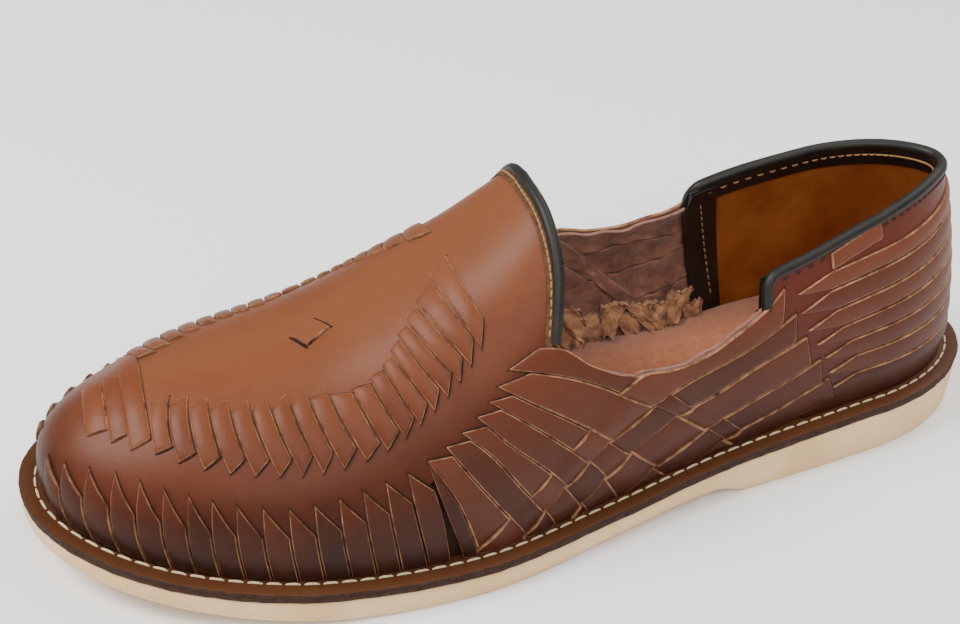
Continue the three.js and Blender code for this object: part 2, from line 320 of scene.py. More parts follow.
def modify(piece, kind, **settings):
    modifier = piece.modifiers.new(kind.title(), kind)
    for name, value in settings.items():
        setattr(modifier, name, value)
    pick(piece)
    bpy.ops.object.modifier_apply(modifier=modifier.name)


HEART = (0.0, 0.0, 0.02)  # middle of the foot, in metres
ALONG_SHARE = 0.4  # how much the way along the foot counts against the way out


def turn_out(piece):
    """Makes faces point away from the middle of the foot."""
    mesh = piece.data
    count = len(mesh.polygons)
    centre = np.empty(count * 3)
    normal = np.empty(count * 3)
    mesh.polygons.foreach_get("center", centre)
    mesh.polygons.foreach_get("normal", normal)
    away = centre.reshape(-1, 3) - HEART
    away[:, 0] *= ALONG_SHARE
    if (away * normal.reshape(-1, 3)).sum() < 0:
        in_edit(piece, (bpy.ops.mesh.flip_normals, {}))


def smooth(piece, degrees):
    pick(piece)
    bpy.ops.object.shade_smooth_by_angle(angle=math.radians(degrees))


def finish_piece(piece, materials, nodes=(), degrees=38.0):
    """Gives a piece its materials, smooths it and hands it to the frame; nodes are those it replaces."""
    for index, each in enumerate(materials):
        if index < len(piece.data.materials):
            piece.data.materials[index] = each
        else:
            piece.data.materials.append(each)
    smooth(piece, degrees)
    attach(piece, BODY)
    if nodes:
        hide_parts(*nodes)


def from_arrays(name, points, faces, indices):
    mesh = bpy.data.meshes.new(name)
    mesh.from_pydata(points.tolist(), [], faces)
    mesh.polygons.foreach_set("material_index", indices)
    mesh.update()
    piece = bpy.data.objects.new(name, mesh)
    bpy.context.scene.collection.objects.link(piece)
    return piece


GRAIN_UPRIGHT = 0.97  # faces steeper than these belong to the cut edge
FLESH_UPRIGHT = -0.8


def cut_leather(length, width, thick, columns, rows, edge_round):
    """A flat strip cut from a hide, grain side up: grain, cut edge and flesh side are faces 0, 1, 2.
    Returned as points with x and y from 0 to 1 and z in mm, faces and finish numbers."""
    piece = flat_sheet("strip", columns, rows)
    move_corners(piece, corners(piece) * (length, width, 1))
    modify(piece, "SOLIDIFY", thickness=thick, offset=-1)
    modify(piece, "BEVEL", width=edge_round, segments=2, limit_method="ANGLE")
    points = corners(piece) / (length, width, 1) + (0.5, 0.5, 0)
    mesh = piece.data
    faces = [list(face.vertices) for face in mesh.polygons]
    indices = []
    for face in mesh.polygons:
        upright = face.normal.z
        indices.append(0 if upright > GRAIN_UPRIGHT else 2 if upright < FLESH_UPRIGHT else 1)
    bpy.data.objects.remove(piece)
    return points, faces, indices


def loft(t, v, off):
    """The point of the last at (t, v), off along its normal."""
    return last(t, v, 0) + facing(t, v) * np.asarray(off)[..., None]


# ---------------------------------------------------------------- finishes
def linear(hex_colour):
    parts = [int(hex_colour[i:i + 2], 16) / 255 for i in (1, 3, 5)]
    return tuple(c / 12.92 if c <= 0.04045 else ((c + 0.055) / 1.055) ** 2.4 for c in parts) + (1.0,)


def per_mm(size):
    """Scale of a texture on object coordinates whose features are size mm across."""
    return 1 / (size * MM)


def add(tree, kind, links=None, **settings):
    node = tree.nodes.new("ShaderNode" + kind)
    for name, value in settings.items():
        setattr(node, name, value)
    for socket, value in (links or {}).items():
        if isinstance(value, bpy.types.NodeSocket):
            tree.links.new(value, node.inputs[socket])
        else:
            node.inputs[socket].default_value = value
    return node


def material(name, **sockets):
    """A new material with values on its shader; returns it, its tree, the shader and its place."""
    made = bpy.data.materials.new(name)
    made.use_nodes = True
    shader = made.node_tree.nodes["Principled BSDF"]
    for socket, value in sockets.items():
        shader.inputs[socket.replace("_", " ")].default_value = value
    place = add(made.node_tree, "TexCoord").outputs["Object"]
    return made, made.node_tree, shader, place


def ramp(tree, factor, stops):
    node = add(tree, "ValToRGB", {"Fac": factor})
    band = node.color_ramp
    while len(band.elements) < len(stops):
        band.elements.new(0.5)
    for element, (position, colour) in zip(band.elements, stops):
        element.position = position
        element.color = linear(colour)
    return node.outputs["Color"]


def relief(tree, shader, layers):
    """Bumps laid over each other; each layer is (height socket, depth in mm, strength)."""
    below = None
    for height, depth, strength in layers:
        links = {"Height": height, "Distance": depth * MM, "Strength": strength}
        if below:
            links["Normal"] = below
        below = add(tree, "Bump", links).outputs["Normal"]
    tree.links.new(below, shader.inputs["Normal"])


CLOUD_SHARE = 0.36
STREAK_SHARE = 0.16


def burnished_hide_with_painted_shade(name, stops, roughness, tone_share=0.22):
    """Vegetable-tanned cowhide, waxed and burnished by hand: painted shade darkens it low on the foot and
    painted highlight lightens it high up, both by level; cloudy, each strip a little different, with fine
    pores and soft wrinkles under a low shine."""
    made, tree, shader, place = material(name, Specular_IOR_Level=0.15, Coat_Weight=0.04,
                                         Coat_Roughness=0.25)
    level = add(tree, "Attribute", attribute_name="level").outputs["Fac"]
    tone = add(tree, "Attribute", attribute_name="tone").outputs["Fac"]
    cloud = add(tree, "TexNoise", {"Vector": place, "Scale": per_mm(26), "Detail": 5, "Roughness": 0.6})
    streak = add(tree, "TexNoise", {"Vector": place, "Scale": per_mm(5), "Detail": 6, "Roughness": 0.7})
    pores = add(tree, "TexVoronoi", {"Vector": place, "Scale": per_mm(1.1)})
    wrinkle = add(tree, "TexNoise", {"Vector": place, "Scale": per_mm(3.2), "Detail": 4, "Distortion": 0.6})
    # The level attribute picks the colour: painted shade low on the foot, painted highlight high up; tone is
    # each strip's own random tone.
    shade = add(tree, "Math", {0: tone, 1: tone_share, 2: level}, operation="MULTIPLY_ADD")
    for texture, share in ((cloud, CLOUD_SHARE), (streak, STREAK_SHARE)):
        shade = add(tree, "Math", {0: texture.outputs["Fac"], 1: share, 2: shade.outputs[0]},
                    operation="MULTIPLY_ADD")
    offset = 0.5 * (tone_share + CLOUD_SHARE + STREAK_SHARE)
    centred = add(tree, "Math", {0: shade.outputs[0], 1: offset}, operation="SUBTRACT")
    colour = ramp(tree, centred.outputs[0], stops)
    tree.links.new(colour, shader.inputs["Base Color"])
    rough = add(tree, "MapRange", {"Value": streak.outputs["Fac"], "To Min": roughness - 0.09,
                                   "To Max": roughness + 0.12})
    tree.links.new(rough.outputs["Result"], shader.inputs["Roughness"])
    relief(tree, shader, [
        (wrinkle.outputs["Fac"], 0.25, 0.35),
        (pores.outputs["Distance"], 0.12, 0.22),
    ])
    return made


def fibrous(name, dark, light, size, depth, roughness=0.85, sheen=0.0):
    """The raw side or edge of a hide: matt, with torn fibres that break its colour up."""
    made, tree, shader, place = material(name, Roughness=roughness, Specular_IOR_Level=0.2,
                                         Sheen_Weight=sheen, Sheen_Roughness=0.5)
    coarse = add(tree, "TexNoise", {"Vector": place, "Scale": per_mm(size), "Detail": 6, "Roughness": 0.7})
    fine = add(tree, "TexNoise", {"Vector": place, "Scale": per_mm(size / 6), "Detail": 3})
    colour = ramp(tree, coarse.outputs["Fac"], [(0.32, dark), (0.68, light)])
    tree.links.new(colour, shader.inputs["Base Color"])
    relief(tree, shader, [(coarse.outputs["Fac"], depth, 0.7), (fine.outputs["Fac"], depth / 3, 0.5)])
    return made


def crepe_rubber():
    """Plantation crepe: raw latex pressed in sheets, cream and slightly clear, with a crinkled skin."""
    made, tree, shader, place = material("plantation crepe rubber", Roughness=0.62, Specular_IOR_Level=0.35,
                                         Subsurface_Weight=0.18, Subsurface_Scale=0.004)
    cloud = add(tree, "TexNoise", {"Vector": place, "Scale": per_mm(30), "Detail": 4})
    crinkle = add(tree, "TexNoise", {"Vector": place, "Scale": per_mm(2.4), "Detail": 5, "Distortion": 1.2})
    colour = ramp(tree, cloud.outputs["Fac"], [(0.3, "#D6AE7C"), (0.55, "#E2BE90"), (0.75, "#E9CAA2")])
    tree.links.new(colour, shader.inputs["Base Color"])
    relief(tree, shader, [(crinkle.outputs["Fac"], 0.3, 0.25)])
    return made


def bound_leather():
    """Black lambskin tape folded over the edge: near black with an olive cast, a soft shine."""
    made, tree, shader, place = material("black lambskin tape", Specular_IOR_Level=0.3, Coat_Weight=0.05,
                                         Coat_Roughness=0.35)
    patch = add(tree, "TexNoise", {"Vector": place, "Scale": per_mm(7), "Detail": 5})
    grain = add(tree, "TexVoronoi", {"Vector": place, "Scale": per_mm(0.9)})
    colour = ramp(tree, patch.outputs["Fac"], [(0.3, "#0F0C08"), (0.6, "#1C1710"), (0.8, "#2A2419")])
    tree.links.new(colour, shader.inputs["Base Color"])
    rough = add(tree, "MapRange", {"Value": patch.outputs["Fac"], "To Min": 0.42, "To Max": 0.6})
    tree.links.new(rough.outputs["Result"], shader.inputs["Roughness"])
    relief(tree, shader, [(patch.outputs["Fac"], 0.2, 0.3), (grain.outputs["Distance"], 0.1, 0.25)])
    return made


def thread(name, colour):
    """Waxed linen thread, drawn as coarse as its twist can show."""
    made, tree, shader, place = material(name, Base_Color=linear(colour), Roughness=0.7,
                                         Specular_IOR_Level=0.3)
    twist = add(tree, "TexWave", {"Vector": place, "Scale": per_mm(2.5), "Distortion": 1.0},
                bands_direction="DIAGONAL")
    relief(tree, shader, [(twist.outputs["Fac"], 0.15, 0.5)])
    return made


def studio_white():
    """Matt painted floor."""
    return material("white floor paint", Base_Color=linear("#F4F3F1"), Roughness=0.9)[0]


# Colour ramps by level, from the foot up, over each hide's own brown: the dark low stops are painted shade,
# the lighter high stops painted highlight.
VAMP_STOPS = [(0.0, "#281006"), (0.2, "#3A180A"), (0.42, "#532713"), (0.68, "#66351B"), (0.95, "#704025")]
WEAVE_STOPS = [(0.0, "#3A1A0F"), (0.2, "#4E2616"), (0.42, "#5D2F1C"), (0.7, "#693822")]
COUNTER_STOPS = [(0.0, "#3E1D12"), (0.25, "#552B1B"), (0.5, "#643522"), (0.8, "#6D3D29")]
PANEL_STOPS = [(0.0, "#35150D"), (0.25, "#522113"), (0.6, "#5C2716"), (0.9, "#4C2718")]
WELT_STOPS = [(0.0, "#33190C"), (0.5, "#4F2E19"), (1.0, "#603A22")]

vamp_hide = burnished_hide_with_painted_shade("burnished cowhide, vamp", VAMP_STOPS, 0.45, 0.12)
weave_hide = burnished_hide_with_painted_shade("burnished cowhide, woven strips", WEAVE_STOPS, 0.46)
heel_hide = burnished_hide_with_painted_shade("burnished cowhide, heel strips", COUNTER_STOPS, 0.46)
panel_hide = burnished_hide_with_painted_shade("burnished cowhide, counter", PANEL_STOPS, 0.4)
welt_hide = burnished_hide_with_painted_shade("rolled sole leather, grain", WELT_STOPS, 0.48)
cut_edge = fibrous("cut cowhide edge", "#452214", "#A67B5B", 4.0, 0.1)
# The vamp's cut edge is darker than the other cut edges: painted shade, standing for its edges that face away
# from the light.
vamp_cut = fibrous("cut cowhide edge, vamp", "#2E150B", "#966A4B", 4.0, 0.1)
heel_edge = fibrous("cut cowhide edge, heel", "#54301F", "#B38867", 4.0, 0.1)
flesh = fibrous("cowhide flesh side", "#5E3A2E", "#8F6450", 6.0, 0.5, sheen=0.3)
raw_ends = fibrous("torn cowhide fibres", "#6E452E", "#BC8A60", 3.4, 0.5, sheen=0.3)
turned_edge = fibrous("turned vamp edge, roughed", "#3A2214", "#64452D", 2.0, 0.3)
lining_hide = fibrous("natural counter lining, smooth split", "#7B401A", "#9E5D2B", 22.0, 0.08, 0.55)
insole_hide = fibrous("brushed insole leather", "#93573A", "#AA6A48", 3.0, 0.12, 0.9, sheen=0.35)
sole_edge_hide = fibrous("rasped sole leather edge", "#20120B", "#452C1F", 1.6, 0.35, 0.75)
# Near-black finish for strips laid in the cuts: painted shadow inside the slots.
slot_painted_shadow = fibrous("painted slot shadow", "#1E0F08", "#2C170D", 2.0, 0.1, 0.8)
crepe = crepe_rubber()
binding = bound_leather()
welt_thread = thread("waxed linen thread, cream", "#C9B594")
edge_thread = thread("waxed linen thread, tan", "#8E6A42")
dark_thread = thread("waxed linen thread, brown", "#2A1F18")

# Finishes of strips and skins, in the order of their faces.
VAMP_SET = [vamp_hide, vamp_cut, flesh]
WEAVE_SET = [weave_hide, cut_edge, flesh]
HEEL_SET = [heel_hide, heel_edge, flesh]
SLOT_SHADOW_SET = [slot_painted_shadow] * 3
TAPE_SET = [binding] * 3


# ---------------------------------------------------------------- more shaping
def mark(piece, **values):
    for name, numbers in values.items():
        attribute = piece.data.attributes.new(name, "FLOAT", "POINT")
        attribute.data.foreach_set("value", np.broadcast_to(numbers, len(piece.data.vertices)).astype(float))


def outward_faces(piece):
    in_edit(piece, (bpy.ops.mesh.normals_make_consistent, {"inside": False}))


SIDES_OF_SKIN = 3  # grain, flesh and cut edge: empty slots that finish_piece fills


def skin(name, columns, rows, place, thick, lift=0.0):
    """A sheet of leather on the last. place(a, b) gives (t, v) for a and b from 0 to 1, and lift is a
    number or a function of (t, v). Faces are 0 on the grain side, 1 on the flesh, 2 on the cut edge."""
    piece = flat_sheet(name, columns, rows)
    flat = corners(piece)
    t, v = place(flat[:, 0] + 0.5, flat[:, 1] + 0.5)
    move_corners(piece, settle(last(t, v, lift(t, v) if callable(lift) else lift)))
    mark(piece, level=v, tone=0.5)
    weld(piece)
    turn_out(piece)
    for _ in range(SIDES_OF_SKIN):
        piece.data.materials.append(None)
    modify(piece, "SOLIDIFY", thickness=thick * MM, offset=-1, material_offset=1, material_offset_rim=2)
    return piece


def line(points):
    """Smooth line on the last through (t, v) points, by s from 0 to 1 along it."""
    table = np.array(points, float)
    steps = np.hypot(np.diff(table[:, 0]) * TURN_MM, np.diff(table[:, 1]) * LEVEL_MM)
    s = np.concatenate([[0], np.cumsum(steps)]) / steps.sum()
    rows = np.column_stack([s, table])
    turn = through(rows, 1)
    level = through(rows, 2)
    return lambda part: (turn(part), level(part))


def straight(start, end):
    return lambda part: (mix(start[0], end[0], part), mix(start[1], end[1], part))


WHOLE = (1.0, 1.0)  # ends of a strip that runs to the ends of its lines


def to_side(t, v, side):
    """A place drawn on the lateral side, taken to the side it is for."""
    return (t, v) if side > 0 else (1 - t, medial_level(t, v))


def between(first, second, starts, ends, gap, lift, side):
    """Route of a strip between two lines on the last. starts and ends are the parts of the lines
    where its ends are cut; gap is left clear on each side, as a share of the width."""
    def route(along, across, depth):
        t1, v1 = first(mix(starts[0], ends[0], along))
        t2, v2 = second(mix(starts[1], ends[1], along))
        share = mix(gap, 1 - gap, across)
        t = mix(t1, t2, share)
        v = mix(v1, v2, share)
        off = depth + lift(t, v, along, across)
        t, v = to_side(t, v, side)
        return loft(t, v, off), v

    return route


def strip_route(lines, number, starts, gap, lift, side):
    """Route of a strip between a line and the next, from its cut end to theirs."""
    return between(lines[number], lines[number + 1], starts, WHOLE, gap, lift, side)


def lay(name, hide, routes):
    """Lays copies of a flat strip along routes, joined in one mesh, faces outward."""
    points, faces, indices = hide
    laid = [route(points[:, 0], points[:, 1], points[:, 2]) for route in routes]
    all_faces = [[len(points) * k + c for c in face] for k in range(len(routes)) for face in faces]
    piece = from_arrays(name, settle(np.concatenate([p for p, _ in laid])), all_faces, indices * len(routes))
    tones = [math.sin((k + 1) * 12.9898) * 43758.5453 % 1.0 for k in range(len(routes))]
    mark(piece, level=np.concatenate([np.broadcast_to(v, len(points)) for _, v in laid]),
         tone=np.repeat(tones, len(points)))
    outward_faces(piece)
    return piece


def rod(name, path, radius):
    """A round bead or cord along points in mm, made a mesh."""
    curve = bpy.data.curves.new(name, "CURVE")
    curve.dimensions = "3D"
    spline = curve.splines.new("POLY")
    spline.points.add(len(path) - 1)
    for point, place in zip(spline.points, settle(path)):
        point.co = (*place, 1)
    curve.bevel_depth = radius * MM
    curve.bevel_resolution = 3
    curve.use_fill_caps = True
    piece = bpy.data.objects.new(name, curve)
    bpy.context.scene.collection.objects.link(piece)
    pick(piece)
    bpy.ops.object.convert(target="MESH")
    return bpy.context.object


def stitch(length, thick):
    """One stitch lying along x: a drawn-out ball with pinched, sunk ends, centred, in mm."""
    bpy.ops.object.select_all(action="DESELECT")
    bpy.ops.mesh.primitive_uv_sphere_add(segments=8, ring_count=6, radius=0.5)
    piece = bpy.context.object
    points = corners(piece)[:, [2, 0, 1]]
    full = (1 - np.abs(points[:, 0] * 2) ** 4)[:, None] ** 0.5
    radial = points[:, 1:] / (np.hypot(points[:, 1], points[:, 2])[:, None] + 1e-9) * 0.5 * full
    radial[np.hypot(points[:, 1], points[:, 2]) < 1e-4] = 0
    shaped = np.column_stack([points[:, 0] * length, radial * thick])
    shaped[:, 2] -= thick * 0.5 * (2 * points[:, 0]) ** 4
    faces = [list(face.vertices) for face in piece.data.polygons]
    bpy.data.objects.remove(piece)
    return shaped, faces


def sew(name, seam, count, length, thick, parts=(0.0, 1.0)):
    """A row of stitches; seam(s) gives point, direction and normal along the seam in mm, and the row
    fills the given parts of it."""
    shaped, faces = stitch(length, thick)
    s = mix(parts[0], parts[1], (np.arange(count) + 0.5) / count)
    place, run, up = seam(s)
    across = np.cross(up, run)
    shape = place[:, None]
    for way, column in ((run, 0), (across, 1), (up, 2)):
        shape = shape + way[:, None] * shaped[None, :, column:column + 1]
    all_faces = [[len(shaped) * k + c for c in face] for k in range(count) for face in faces]
    piece = from_arrays(name, settle(shape.reshape(-1, 3)), all_faces, [0] * len(all_faces))
    outward_faces(piece)
    return piece


def seam_on(place, lift):
    """Seam on the last; place(s) gives (t, v)."""
    def seam(s):
        t, v = place(s)
        up = facing(t, v)
        step = 1e-3
        t2, v2 = place(s + step)
        t1, v1 = place(s - step)
        run = last(t2, v2, lift) - last(t1, v1, lift)
        run /= np.linalg.norm(run, axis=-1)[..., None]
        return last(t, v, 0) + up * lift, run, up

    return seam


# ---------------------------------------------------------------- soles
SOLE_COLUMNS = 300
GAP = 0.3
BEAD = 1.75
MIDDLE = -WALL / 2
CREPE_BEVEL = 0.9
MIDSOLE_THICK = 1.7
WELT_THICK = 1.2
INSOLE_THICK = 2.5
INSOLE_INSET = FEATHER_INSET + WALL + 0.8


def ground_line(x):
    step = ease((x - BREAST_BACK) / (BREAST_FRONT - BREAST_BACK))
    fall = ease((ARCH_GROUND - x) / (ARCH_GROUND - BREAST_FRONT))
    rise = np.clip((x - SPRING_START) / (LENGTH - SPRING_START), 0, 1) ** SPRING_POWER
    return ARCH_HEIGHT * np.where(x < BREAST_FRONT, step, fall) + SPRING_HEIGHT * rise


def over(lift):
    return lambda x: SECTION["deck"](x) + lift


def sole_piece(name, profile, wander=0.0):
    """A layer of the sole, lofted round the outline. Each point of the profile is (inset, height,
    share of the way from the edge to the middle line)."""
    piece = flat_sheet(name, SOLE_COLUMNS, len(profile) - 1)
    flat = corners(piece)
    t = flat[:, 0] + 0.5
    row = np.rint((flat[:, 1] + 0.5) * (len(profile) - 1)).astype(int)
    points = np.empty((len(t), 3))
    for k, (inset, height, share) in enumerate(profile):
        own = row == k
        rough = wander * (np.sin(t[own] * 911 + 2 * k) + np.sin(t[own] * 517 + k) + np.sin(t[own] * 237))
        place = edge(t[own], inset + rough)
        middle = (SECTION["lateral"](place[:, 0]) - SECTION["medial"](place[:, 0])) / 2
        points[own, 0] = place[:, 0]
        points[own, 1] = mix(place[:, 1], middle, share)
        points[own, 2] = height(place[:, 0])
    move_corners(piece, settle(points))
    mark(piece, level=0.5, tone=0.5)
    weld(piece)
    outward_faces(piece)
    return piece


def tread(lift):
    return lambda x: ground_line(x) + lift


def belly(share):
    """Height part of the way up the crepe's side."""
    return lambda x: mix(ground_line(x), SECTION["deck"](x), share)


crepe_sole = sole_piece("crepe_sole", [
    (CREPE_BEVEL, tread(0.0), 1.0),
    (CREPE_BEVEL + 6, tread(0.0), 0.0),
    (CREPE_BEVEL, tread(0.0), 0.0),
    (0.55, tread(0.25), 0.0),
    (0.3, tread(CREPE_BEVEL), 0.0),
    (0.1, belly(0.4), 0.0),
    (0.15, belly(0.75), 0.0),
    (0.5, over(-0.25), 0.0),
    (0.9, over(0.0), 0.0),
    (0.9, over(0.0), 1.0),
], 0.03)
finish_piece(crepe_sole, [crepe], ["outsole"], degrees=50)

midsole_piece = sole_piece("midsole_leather", [
    (0.8, over(0.02), 1.0),
    (0.8, over(0.02), 0.0),
    (0.35, over(0.2), 0.0),
    (0.2, over(0.9), 0.0),
    (0.35, over(GAP + MIDSOLE_THICK - 0.05), 0.0),
    (0.9, over(GAP + MIDSOLE_THICK), 0.0),
    (0.9, over(GAP + MIDSOLE_THICK), 1.0),
], 0.07)
finish_piece(midsole_piece, [sole_edge_hide], ["midsole"], degrees=50)

welt_top = LAYERS - GAP / 2
WELT_UPRIGHT = 0.75  # steeper faces are its rasped edge
welt_piece = sole_piece("welt_leather", [
    (0.5, over(welt_top - WELT_THICK - 0.1), 0.0),
    (0.05, over(welt_top - WELT_THICK + 0.15), 0.0),
    (0.0, over(welt_top - 0.35), 0.0),
    (0.15, over(welt_top - 0.08), 0.0),
    (0.5, over(welt_top), 0.0),
    (3.4, over(welt_top + 0.05), 0.0),
    (4.2, over(welt_top - 0.12), 0.0),
    (5.0, over(welt_top + 0.05), 0.0),
    (INSOLE_INSET - GAP, over(welt_top + 0.1), 0.0),
    (INSOLE_INSET - GAP, over(welt_top - WELT_THICK), 0.0),
    (0.5, over(welt_top - WELT_THICK - 0.1), 0.0),
], 0.05)
for each in (welt_hide, sole_edge_hide):
    welt_piece.data.materials.append(each)
for face in welt_piece.data.polygons:
    face.material_index = 0 if face.normal.z > WELT_UPRIGHT else 1
finish_piece(welt_piece, [], ["welt"], degrees=50)

WELT_SEAM_INSET = 4.3  # from the welt's edge
WELT_STITCH_PITCH = 4.9


def welt_seam(s):
    place = edge(s, WELT_SEAM_INSET)
    ahead = edge(s + 1e-3, WELT_SEAM_INSET)
    height = over(welt_top + 0.1)
    point = np.column_stack([place, height(place[:, 0])])
    run = np.column_stack([ahead, height(ahead[:, 0])]) - point
    run /= np.linalg.norm(run, axis=1)[:, None]
    up = np.cross(np.cross(run, [0, 0, 1.0]), run)
    return point, run, up / np.linalg.norm(up, axis=1)[:, None]


ROUND_PARTS = np.linspace(0, 1, 1201)  # places round the outline where the seam is measured
samples = edge(ROUND_PARTS, WELT_SEAM_INSET)
round_length = np.concatenate([[0], np.cumsum(np.linalg.norm(np.diff(samples, axis=0), axis=1))])
welt_stitch_count = int(round_length[-1] / WELT_STITCH_PITCH)


def even_welt_seam(s):
    return welt_seam(np.interp(np.mod(s, 1) * round_length[-1], round_length, ROUND_PARTS))


welt_stitches = sew("welt_stitches", even_welt_seam, welt_stitch_count, length=4.3, thick=0.7)
finish_piece(welt_stitches, [welt_thread])

insole_low = GAP + MIDSOLE_THICK + GAP
INSOLE_RISE = 3.0  # how far its upper face stands over the part's own insole
insole_top = insole_low + INSOLE_THICK + INSOLE_RISE
INSOLE_ROUND = 0.5
insole_piece = sole_piece("insole_leather", [
    (INSOLE_INSET, over(insole_low), 1.0),
    (INSOLE_INSET, over(insole_low), 0.0),
    (INSOLE_INSET, over(insole_top - INSOLE_ROUND), 0.0),
    (INSOLE_INSET + INSOLE_ROUND, over(insole_top), 0.0),
    (INSOLE_INSET + INSOLE_ROUND, over(insole_top), 0.5),
    (INSOLE_INSET + INSOLE_ROUND, over(insole_top), 1.0),
])
finish_piece(insole_piece, [insole_hide], ["insole"], degrees=50)


# ---------------------------------------------------------------- vamp
def medial_level(t, v):
    """Level on the medial side of a line drawn on the lateral side, where the quarter is higher."""
    held = np.clip(t, COUNTER_TURN, VAMP_TURN)
    ratio = quarter_level(held, -1) / quarter_level(held, 1)
    fade = ease((np.asarray(t) - VAMP_TURN) / 0.05)
    near = ease((0.7 - np.asarray(v)) / 0.2)
    return v * mix(1.0, mix(ratio, 1.0, fade), near)


# Tips of the petals, from the toe to the throat: number, turn and level.
TIPS = [(0, 0.482, 0.29), (3, 0.429, 0.40), (5, 0.402, 0.375), (8, 0.371, 0.325), (10, 0.352, 0.305),
        (13, 0.327, 0.325), (16, 0.306, 0.345), (18, 0.295, 0.38), (20, 0.287, 0.425), (22, 0.280, 0.47),
        (23, 0.276, 0.51)]
tip_turn = through(TIPS, 1)
tip_level = through(TIPS, 2)
PETALS = 17  # short ones; the six after them run on into the quarter
LEAN = [(0, 0.014), (8, 0.005), (13, 0.006), (15, 0.008), (17, 0.019)]
lean = through(LEAN, 1)
FOOT_LEVEL = -0.01


def petal_line(number):
    """Toe-side edge of a petal, from its tip to its foot, with a slight belly."""
    t = float(tip_turn(number))
    v = float(tip_level(number))
    base = t - float(lean(number))
    return line([(t, v), (mix(t, base, 0.42), v * 0.55), (base, 0.0)])


# Toe-side edges of the long strips, from the vamp down and back to the welt.
LONG_LINES = [
    line([(0.306, 0.345), (0.297, 0.20), (0.288, 0.0)]),
    line([(0.300, 0.362), (0.290, 0.22), (0.282, 0.12), (0.271, 0.0)]),
    line([(0.295, 0.381), (0.284, 0.265), (0.274, 0.14), (0.261, 0.0)]),
    line([(0.290, 0.402), (0.279, 0.28), (0.262, 0.12), (0.250, 0.0)]),
    line([(0.286, 0.425), (0.277, 0.345), (0.262, 0.21), (0.247, 0.085), (0.238, 0.0)]),
    line([(0.283, 0.451), (0.270, 0.337), (0.247, 0.165), (0.229, 0.053), (0.220, 0.0)]),
    line([(0.279, 0.475), (0.262, 0.371), (0.241, 0.248), (0.214, 0.124), (0.198, 0.03), (0.193, 0.0)]),
]


def top_edge_point(station_x):
    t = float(turn_at(station_x))
    return t, float(quarter_level(t, 1))


# The raw edge of the quarter, from the vamp to where it meets the counter's strips, then under them.
LONG_LINES.append(line([(0.277, 0.515), top_edge_point(158), top_edge_point(150), top_edge_point(142),
                        top_edge_point(135), (0.215, 0.165), (0.196, 0.07), (0.187, 0.0)]))

# Lower edges of the counter's strips, from the counter down and forward to the welt.
CROSS_LINES = [
    line([(0.178, 0.385), top_edge_point(91), top_edge_point(100), top_edge_point(110), top_edge_point(122),
          top_edge_point(135), (0.252, 0.20), (0.268, 0.125), (0.284, 0.04), (0.290, 0.0)]),
    line([(0.1735, 0.315), (0.191, 0.262), (0.220, 0.212), (0.238, 0.165), (0.256, 0.10), (0.270, 0.02),
          (0.273, 0.0)]),
    line([(0.169, 0.250), (0.190, 0.205), (0.203, 0.173), (0.222, 0.140), (0.238, 0.09), (0.252, 0.02),
          (0.256, 0.0)]),
    line([(0.162, 0.180), (0.177, 0.142), (0.191, 0.113), (0.210, 0.075), (0.228, 0.025), (0.236, 0.0)]),
    line([(0.157, 0.120), (0.177, 0.068), (0.196, 0.035), (0.210, 0.0)]),
    line([(0.151, 0.055), (0.163, 0.025), (0.176, 0.0)]),
]


def across_index(lines, by_level):
    """How many of the lines lie on one side of a point, with a share for the way between two. The
    lines are looked up by level, or else by turn."""
    s = np.linspace(0, 1, 200)
    tables = [each(s) for each in lines]

    def index(t, v):
        if by_level:
            given = t
            places = np.stack([np.interp(v, levels[::-1], turns[::-1]) for turns, levels in tables])
        else:
            given = v
            places = np.stack([np.interp(t, turns, levels) for turns, levels in tables])
        steps = np.clip((places[:-1] - given) / np.maximum(places[:-1] - places[1:], 1e-4), 0, 1)
        return steps.sum(0)

    return index


long_index = across_index(LONG_LINES, True)
cross_index = across_index(CROSS_LINES, False)
WEAVE_RISE = 0.85
WEAVE_LOW = 0.25
STRIP_THICK = 1.2


def weave_lift(number, crossed, sign, high, reach):
    """Lift of a strip that goes over and under those it crosses, its edges a little lower. It starts
    high mm up, on the leather that it comes from, and is down after a part of its length."""
    own = sign if number % 2 else -sign

    def lift(t, v, along, across):
        weave = np.sin(np.pi * crossed(t, v)) * own
        edge_drop = -0.18 * (2 * across - 1) ** 4
        return mix(high, WEAVE_LOW, ease(along / reach)) + WEAVE_RISE * weave + edge_drop

    return lift


def petal_lift(t, v, along, across):
    return 0.7 + 0.35 * np.sin(np.pi * across) - 0.1 * ease(along * 1.6 - 0.6)


VAMP_CORNER = 0.43  # level where the vamp's bound edge meets the quarter
EDGE_FORWARD = 0.8  # how far the vamp's leather and bead stand before the edge's line
VAMP_THICK = 1.6


# Level of the quarter's raw edge where the vamp's bead starts.
VAMP_FEET = {side: float(quarter_level(VAMP_TURN, side)) for _, side in SIDES}


def vamp_bottom(t):
    """Level of the vamp's lower edge: it stops above the quarter's open weave."""
    number = np.interp(-t, -tip_turn(np.arange(24)), np.arange(24))
    tip = tip_level(number)
    return mix(tip - 0.075, FOOT_LEVEL, ease((t - 0.3085) / 0.009))


def vamp_place(a, b):
    """a runs round the vamp from one side of the throat to the other, b from its foot to the ridge."""
    near = np.where(a < 0.5, a, 1 - a) * 2
    start = float(vamp_edge(VAMP_CORNER, EDGE_FORWARD))
    bottom_turn = mix(start, 0.5, near)
    rounded = ease((bottom_turn - start) / 0.012)
    bottom = mix(VAMP_CORNER, vamp_bottom(bottom_turn), rounded)
    v = mix(bottom, 1.0, b)
    t = mix(vamp_edge(np.maximum(v, VAMP_CORNER), EDGE_FORWARD), 0.5, near)
    return np.where(a < 0.5, t, 1 - t), np.where(a < 0.5, v, medial_level(t, v))


